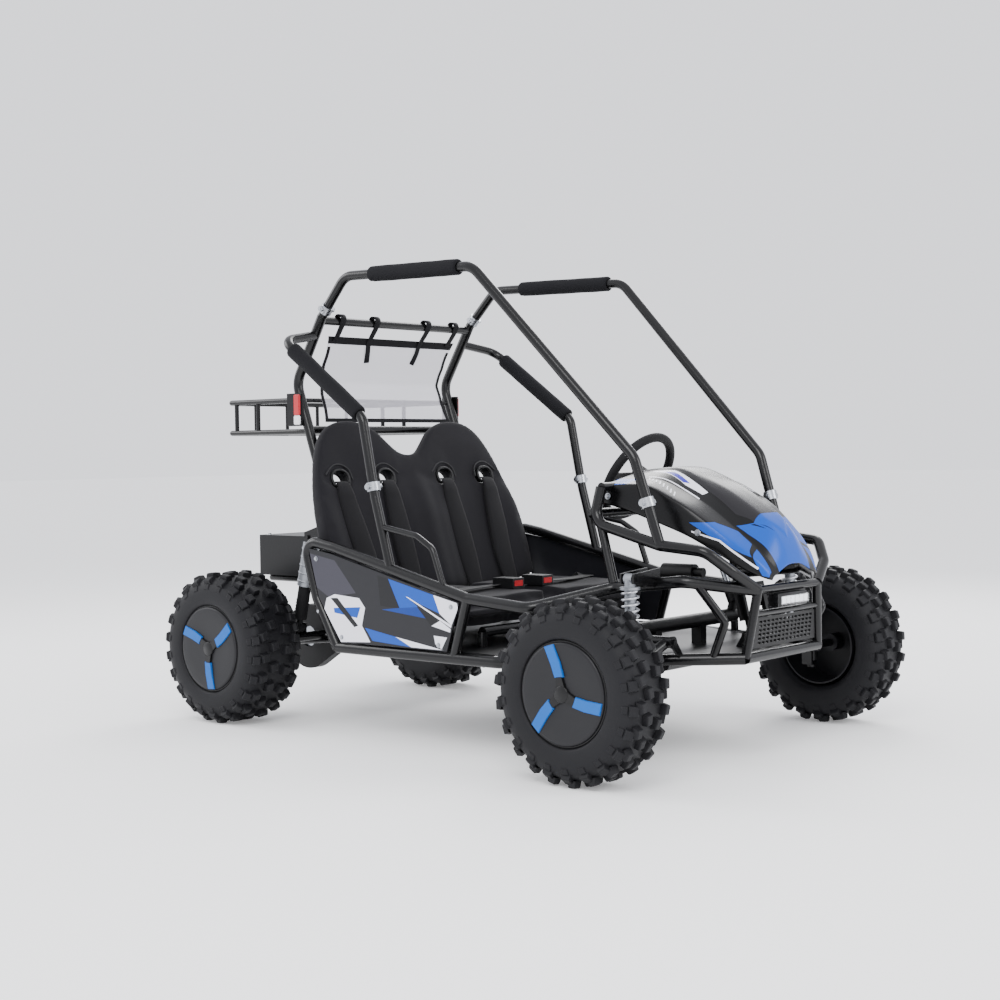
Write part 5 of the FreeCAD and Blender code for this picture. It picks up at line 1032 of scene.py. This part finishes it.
# A painted die casting, chromed cells that glow a little, and clear and coloured plastics that
# are polished in the mould.
lamp_shell = finish_of("black_die_cast_lamp", "#060607", 0.35, grain_mm=3.0, relief=0.08, mottle=0.3)[0]
led_cell, tree, shader, _ = finish_of("led_reflector", "#E8EAEC", 0.25, mottle=0.05, Metallic=0.6,
                                      Emission_Strength=1.2)
shader.inputs["Emission Color"].default_value = linear("#F4F6FF")
clear_lens = finish_of("clear_polycarbonate", "#F2F5F7", 0.08, mottle=0.02, Transmission_Weight=0.9,
                       Alpha=0.35)[0]


def rounded_box(name, low, high, round_off, material, slot, smooth=False):
    """A box with every edge rounded, between two corners."""
    bm = bmesh.new()
    bmesh.ops.create_cube(bm, size=1.0)
    for vert in bm.verts:
        vert.co = Vector([(low[i] + high[i]) / 2 + vert.co[i] * (high[i] - low[i]) for i in range(3)])
    bmesh.ops.bevel(bm, geom=list(bm.edges), offset=round_off, segments=3, affect="EDGES")
    return mesh_piece(name, *points_and_faces(bm), material, "frame", slot, smooth)


shell = rounded_box("front_lamp_shell", LAMP_LOW, LAMP_HIGH - X_WAY * 0.004, 0.004, lamp_shell,
                    "black_plastic", smooth=True)
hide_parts("front_lamp")
cell = bevelled_block("cell", 0.016, 0.017, 0.0012, 0.94, 0.0004)
face_x = LAMP_HIGH.x - 0.0042
spots = [(Vector((face_x, lamp_middle.y + (column - 2.5) * 0.0192, lamp_middle.z)), X_WAY, Z_WAY, AS_MADE)
         for column in range(6)]
set_in_rows("led_cells", spots, cell, led_cell, "frame")
bpy.data.objects.remove(cell)
rounded_box("front_lamp_lens", Vector((face_x + 0.0014, LAMP_LOW.y + 0.007, LAMP_LOW.z + 0.005)),
            Vector((LAMP_HIGH.x, LAMP_HIGH.y - 0.007, LAMP_HIGH.z - 0.005)), 0.001, clear_lens,
            "lamp_glass")
red_lens = finish_of("red_acrylic_lens", "#B30F1B", 0.12, mottle=0.08, Coat_Weight=0.5)[0]
white_lens = finish_of("white_acrylic_lens", "#E9E9EC", 0.15, mottle=0.03, Coat_Weight=0.5)[0]
low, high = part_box("tail_lamps")
near = high.y - 0.009
split = low.z + 0.026
EDGE = 0.0015
for side, sign in (("right", -1), ("left", 1)):
    ends = sorted((sign * near, sign * (near + 0.0022)))
    base = rounded_box("tail_lamp_base_" + side, Vector((low.x, ends[0], low.z)),
                       Vector((high.x, ends[1], high.z)), 0.0009, lamp_shell, "black_plastic")
    ends = sorted((sign * (near + 0.002), sign * high.y))
    rounded_box("tail_lens_red_" + side, Vector((low.x + EDGE, ends[0], split + 0.0004)),
                Vector((high.x - EDGE, ends[1], high.z - EDGE)), 0.0022, red_lens, "lens")
    rounded_box("tail_lens_white_" + side, Vector((low.x + EDGE, ends[0], low.z + EDGE)),
                Vector((high.x - EDGE, ends[1], split)), 0.0022, white_lens, "lens")
    if side == "right":
        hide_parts("tail_lamps")

# ---------------------------------------------------------------- metal fittings
# Zinc plated steel for collars, rods and spindles; cast aluminium for shock bodies and caliper;
# silver painted springs; black paint on the motor, steering box, knuckles and pedals; rubber on
# the steering wheel and round the rear shocks' rods.

# Bright zinc is a cool mirror with a faint bloom; cast aluminium is greyer and grained; spring
# paint is smooth; moulded rubber and nylon are dull with a fine texture.
zinc = finish_of("bright_zinc_plate", "#A9ACB1", 0.30, grain_mm=2.5, relief=0.06, mottle=0.15,
                 Metallic=1.0)[0]
cast = finish_of("cast_aluminium", "#8E9196", 0.45, grain_mm=2.0, relief=0.15, mottle=0.15,
                 Metallic=0.9)[0]
black_cast = finish_of("black_painted_casting", "#060607", 0.42, grain_mm=2.5, relief=0.2, mottle=0.4,
                       Specular_IOR_Level=0.3)[0]
spring_steel = finish_of("silver_spring_paint", "#B9BBC0", 0.35, grain_mm=3.0, relief=0.05, mottle=0.1,
                         Metallic=0.7)[0]
grip_rubber = finish_of("moulded_grip_rubber", "#0B0B0D", 0.72, grain_mm=2.0, relief=0.3, mottle=0.3,
                        Specular_IOR_Level=0.25)[0]
guard_plastic = finish_of("black_guard_plastic", "#08080A", 0.5, grain_mm=2.5, relief=0.1, mottle=0.3,
                          Specular_IOR_Level=0.3)[0]
for material, names in (
        (zinc, ("tube_clamps", "steering_column", "steering_shaft", "rack_bar", "tie_rod_right",
                "tie_rod_left", "front_shock_rod_right", "front_shock_rod_left", "rear_axle", "sprocket",
                "brake_disc", "motor_sprocket")),
        (cast, ("front_shock_bodies", "rear_shock_bodies", "brake_caliper")),
        (black_cast, ("motor", "rack_housing", "knuckle_right", "knuckle_left", "master_cylinder",
                      "brake_pedal", "throttle_pedal")),
        (spring_steel, ("front_spring_right", "front_spring_left")),
        (grip_rubber, ("steering_wheel", "rear_shock_rods")),
        (guard_plastic, ("chain_guard", "front_grille"))):
    for name in names:
        smooth_cad(name, material)

# ---------------------------------------------------------------- shock absorbers and chain
# Each rear shock has pressed rings on its silver sleeve, and a rubber bellows round its rod that
# stops short of the sleeve by the stroke. The drive chain is two rows of link plates at the
# common half-inch pitch, and runs round both chain wheels.

SHOCK_TOP = Vector((-0.4545, 0, 0.498))
SHOCK_FOOT = Vector((-0.5145, 0, 0.250))
SHOCK_Y = 0.294
SHOCK_WAY = (SHOCK_FOOT - SHOCK_TOP).normalized()
bead = [(0.0218, -0.003), (0.0232, -0.0018), (0.0236, 0.0), (0.0232, 0.0018), (0.0218, 0.003)]
FOLDS = 6
FOLD_PITCH = 0.0085
for side, sign in (("right", -1), ("left", 1)):
    top = SHOCK_TOP + Y_WAY * (sign * SHOCK_Y)
    for ring in range(5):
        points, faces = closed_spin(bead, 40, top + SHOCK_WAY * (0.034 + 0.022 * ring), SHOCK_WAY)
        cleaned(mesh_piece("shock_ring_%s_%d" % (side, ring), points, faces, cast, "frame",
                           "cast_aluminium"))
    foot = SHOCK_FOOT + Y_WAY * (sign * SHOCK_Y)
    folds = [(radius, height + FOLD_PITCH * fold) for fold in range(FOLDS)
             for radius, height in ((0.0150, 0.031), (0.0186, 0.035))]
    points, faces = closed_spin([(0.012, 0.028)] + folds + [(0.0150, 0.0812), (0.012, 0.0830)], 40, foot,
                                -SHOCK_WAY)
    cleaned(mesh_piece("shock_bellows_" + side, points, faces, grip_rubber, "rear_rods", "grip_rubber"))

wheel_low, wheel_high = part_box("sprocket")
pinion_low, pinion_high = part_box("motor_sprocket")
CHAIN_Y = -0.120
CHAIN_PITCH = 0.0127
big = Vector(((wheel_low.x + wheel_high.x) / 2, CHAIN_Y, (wheel_low.z + wheel_high.z) / 2))
small = Vector(((pinion_low.x + pinion_high.x) / 2, CHAIN_Y, (pinion_low.z + pinion_high.z) / 2))
big_radius = (wheel_high.z - wheel_low.z) / 2 - 0.001
small_radius = (pinion_high.z - pinion_low.z) / 2 - 0.001
span = small - big
heading = math.atan2(span.z, span.x)
lean = math.acos((big_radius - small_radius) / span.length)
rim_points = []
for step in range(97):
    angle = heading + lean + (2 * math.pi - 2 * lean) * step / 96
    rim_points.append(big + Vector((math.cos(angle), 0, math.sin(angle))) * big_radius)
for step in range(49):
    angle = heading - lean + 2 * lean * step / 48
    rim_points.append(small + Vector((math.cos(angle), 0, math.sin(angle))) * small_radius)
rim_points.append(rim_points[0])
lengths = [(b - a).length for a, b in zip(rim_points, rim_points[1:])]
links = round(sum(lengths) / CHAIN_PITCH)
spots = []
for link in range(links):
    run = sum(lengths) * link / links
    index = 0
    while run > lengths[index]:
        run -= lengths[index]
        index += 1
    a, b = rim_points[index], rim_points[index + 1]
    along = (b - a).normalized()
    for shift in (-0.0042, 0.0042):
        inner = 1.0 if (link % 2) else 0.82
        spots.append((a + along * run + Vector((0, shift * inner, 0)), Y_WAY, along, AS_MADE))
plate = bevelled_block("link_plate", 0.0135, 0.0085, 0.0012, 0.9, 0.0003)
set_in_rows("drive_chain_plates", spots, plate, zinc, "swing")
bpy.data.objects.remove(plate)

# ---------------------------------------------------------------- bolts
# Zinc plated hexagon bolts with washers: through the side panels, the cowl's edges and the
# box lid.

bm = bmesh.new()
bmesh.ops.create_cone(bm, cap_ends=True, segments=24, radius1=0.0088, radius2=0.0084, depth=0.0012,
                      matrix=Matrix.Translation((0, 0, 0.0006)))
bmesh.ops.create_cone(bm, cap_ends=True, segments=6, radius1=0.0064, radius2=0.0060, depth=0.0042,
                      matrix=Matrix.Translation((0, 0, 0.0033)))
bolt_mesh = bpy.data.meshes.new("hex_bolt")
bm.to_mesh(bolt_mesh)
bm.free()
bolt = shown_as("hex_bolt", bolt_mesh)
low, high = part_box("battery_box")
PANEL_FACE = 0.4308
for name, spots in (
        ("panel_bolts", [(Vector((x, sign * PANEL_FACE, z)), Vector((0, sign, 0)), X_WAY, AS_MADE * 0.72)
                         for sign in (-1, 1) for x, z in ((-0.295, 0.452), (0.170, 0.352), (0.128, 0.258),
                                                          (-0.205, 0.256), (-0.288, 0.318))]),
        ("cowl_bolts", [(Vector((FRONT_AXLE + ahead, sign * across, up)), Vector((0, sign, 0.1)), X_WAY,
                         AS_MADE * 0.9) for sign in (-1, 1)
                        for ahead, across, up in ((-0.160, 0.2105, 0.612), (0.075, 0.186, 0.530))]),
        ("box_bolts", [(Vector((x, y, high.z - 0.0002)), Z_WAY, X_WAY, AS_MADE * 0.8)
                       for x in (low.x + 0.02, high.x - 0.02)
                       for y in (low.y + 0.02, -0.085, 0.085, high.y - 0.02)])):
    set_in_rows(name, spots, bolt, zinc, "frame")
bpy.data.objects.remove(bolt)

# ---------------------------------------------------------------- cowl slots
# Eight short slanted slots along each shoulder of the cowl, pressed in and lined in silver.

tick_paint = finish_of("silver_print", "#B7B8BE", 0.35, grain_mm=3.0, relief=0.02, mottle=0.1,
                       Metallic=0.4)[0]
tick = bevelled_block("tick", 0.0270, 0.0042, 0.0014, 0.85, 0.0004)
surface = cowl.evaluated_get(bpy.context.evaluated_depsgraph_get())
spots = []
for sign in (-1, 1):
    for step in range(8):
        ahead = -0.090 + 0.0125 * step
        across = 0.139 + 0.0035 * step
        above_cowl = Vector((FRONT_AXLE + ahead, sign * across, 1.2))
        found, place, normal, _ = surface.ray_cast(above_cowl, -Z_WAY)
        if found:
            spots.append((place - normal * 0.0004, normal, Vector((0.5, sign * 0.9, -0.3)), AS_MADE))
set_in_rows("cowl_slots", spots, tick, tick_paint, "frame")
bpy.data.objects.remove(tick)
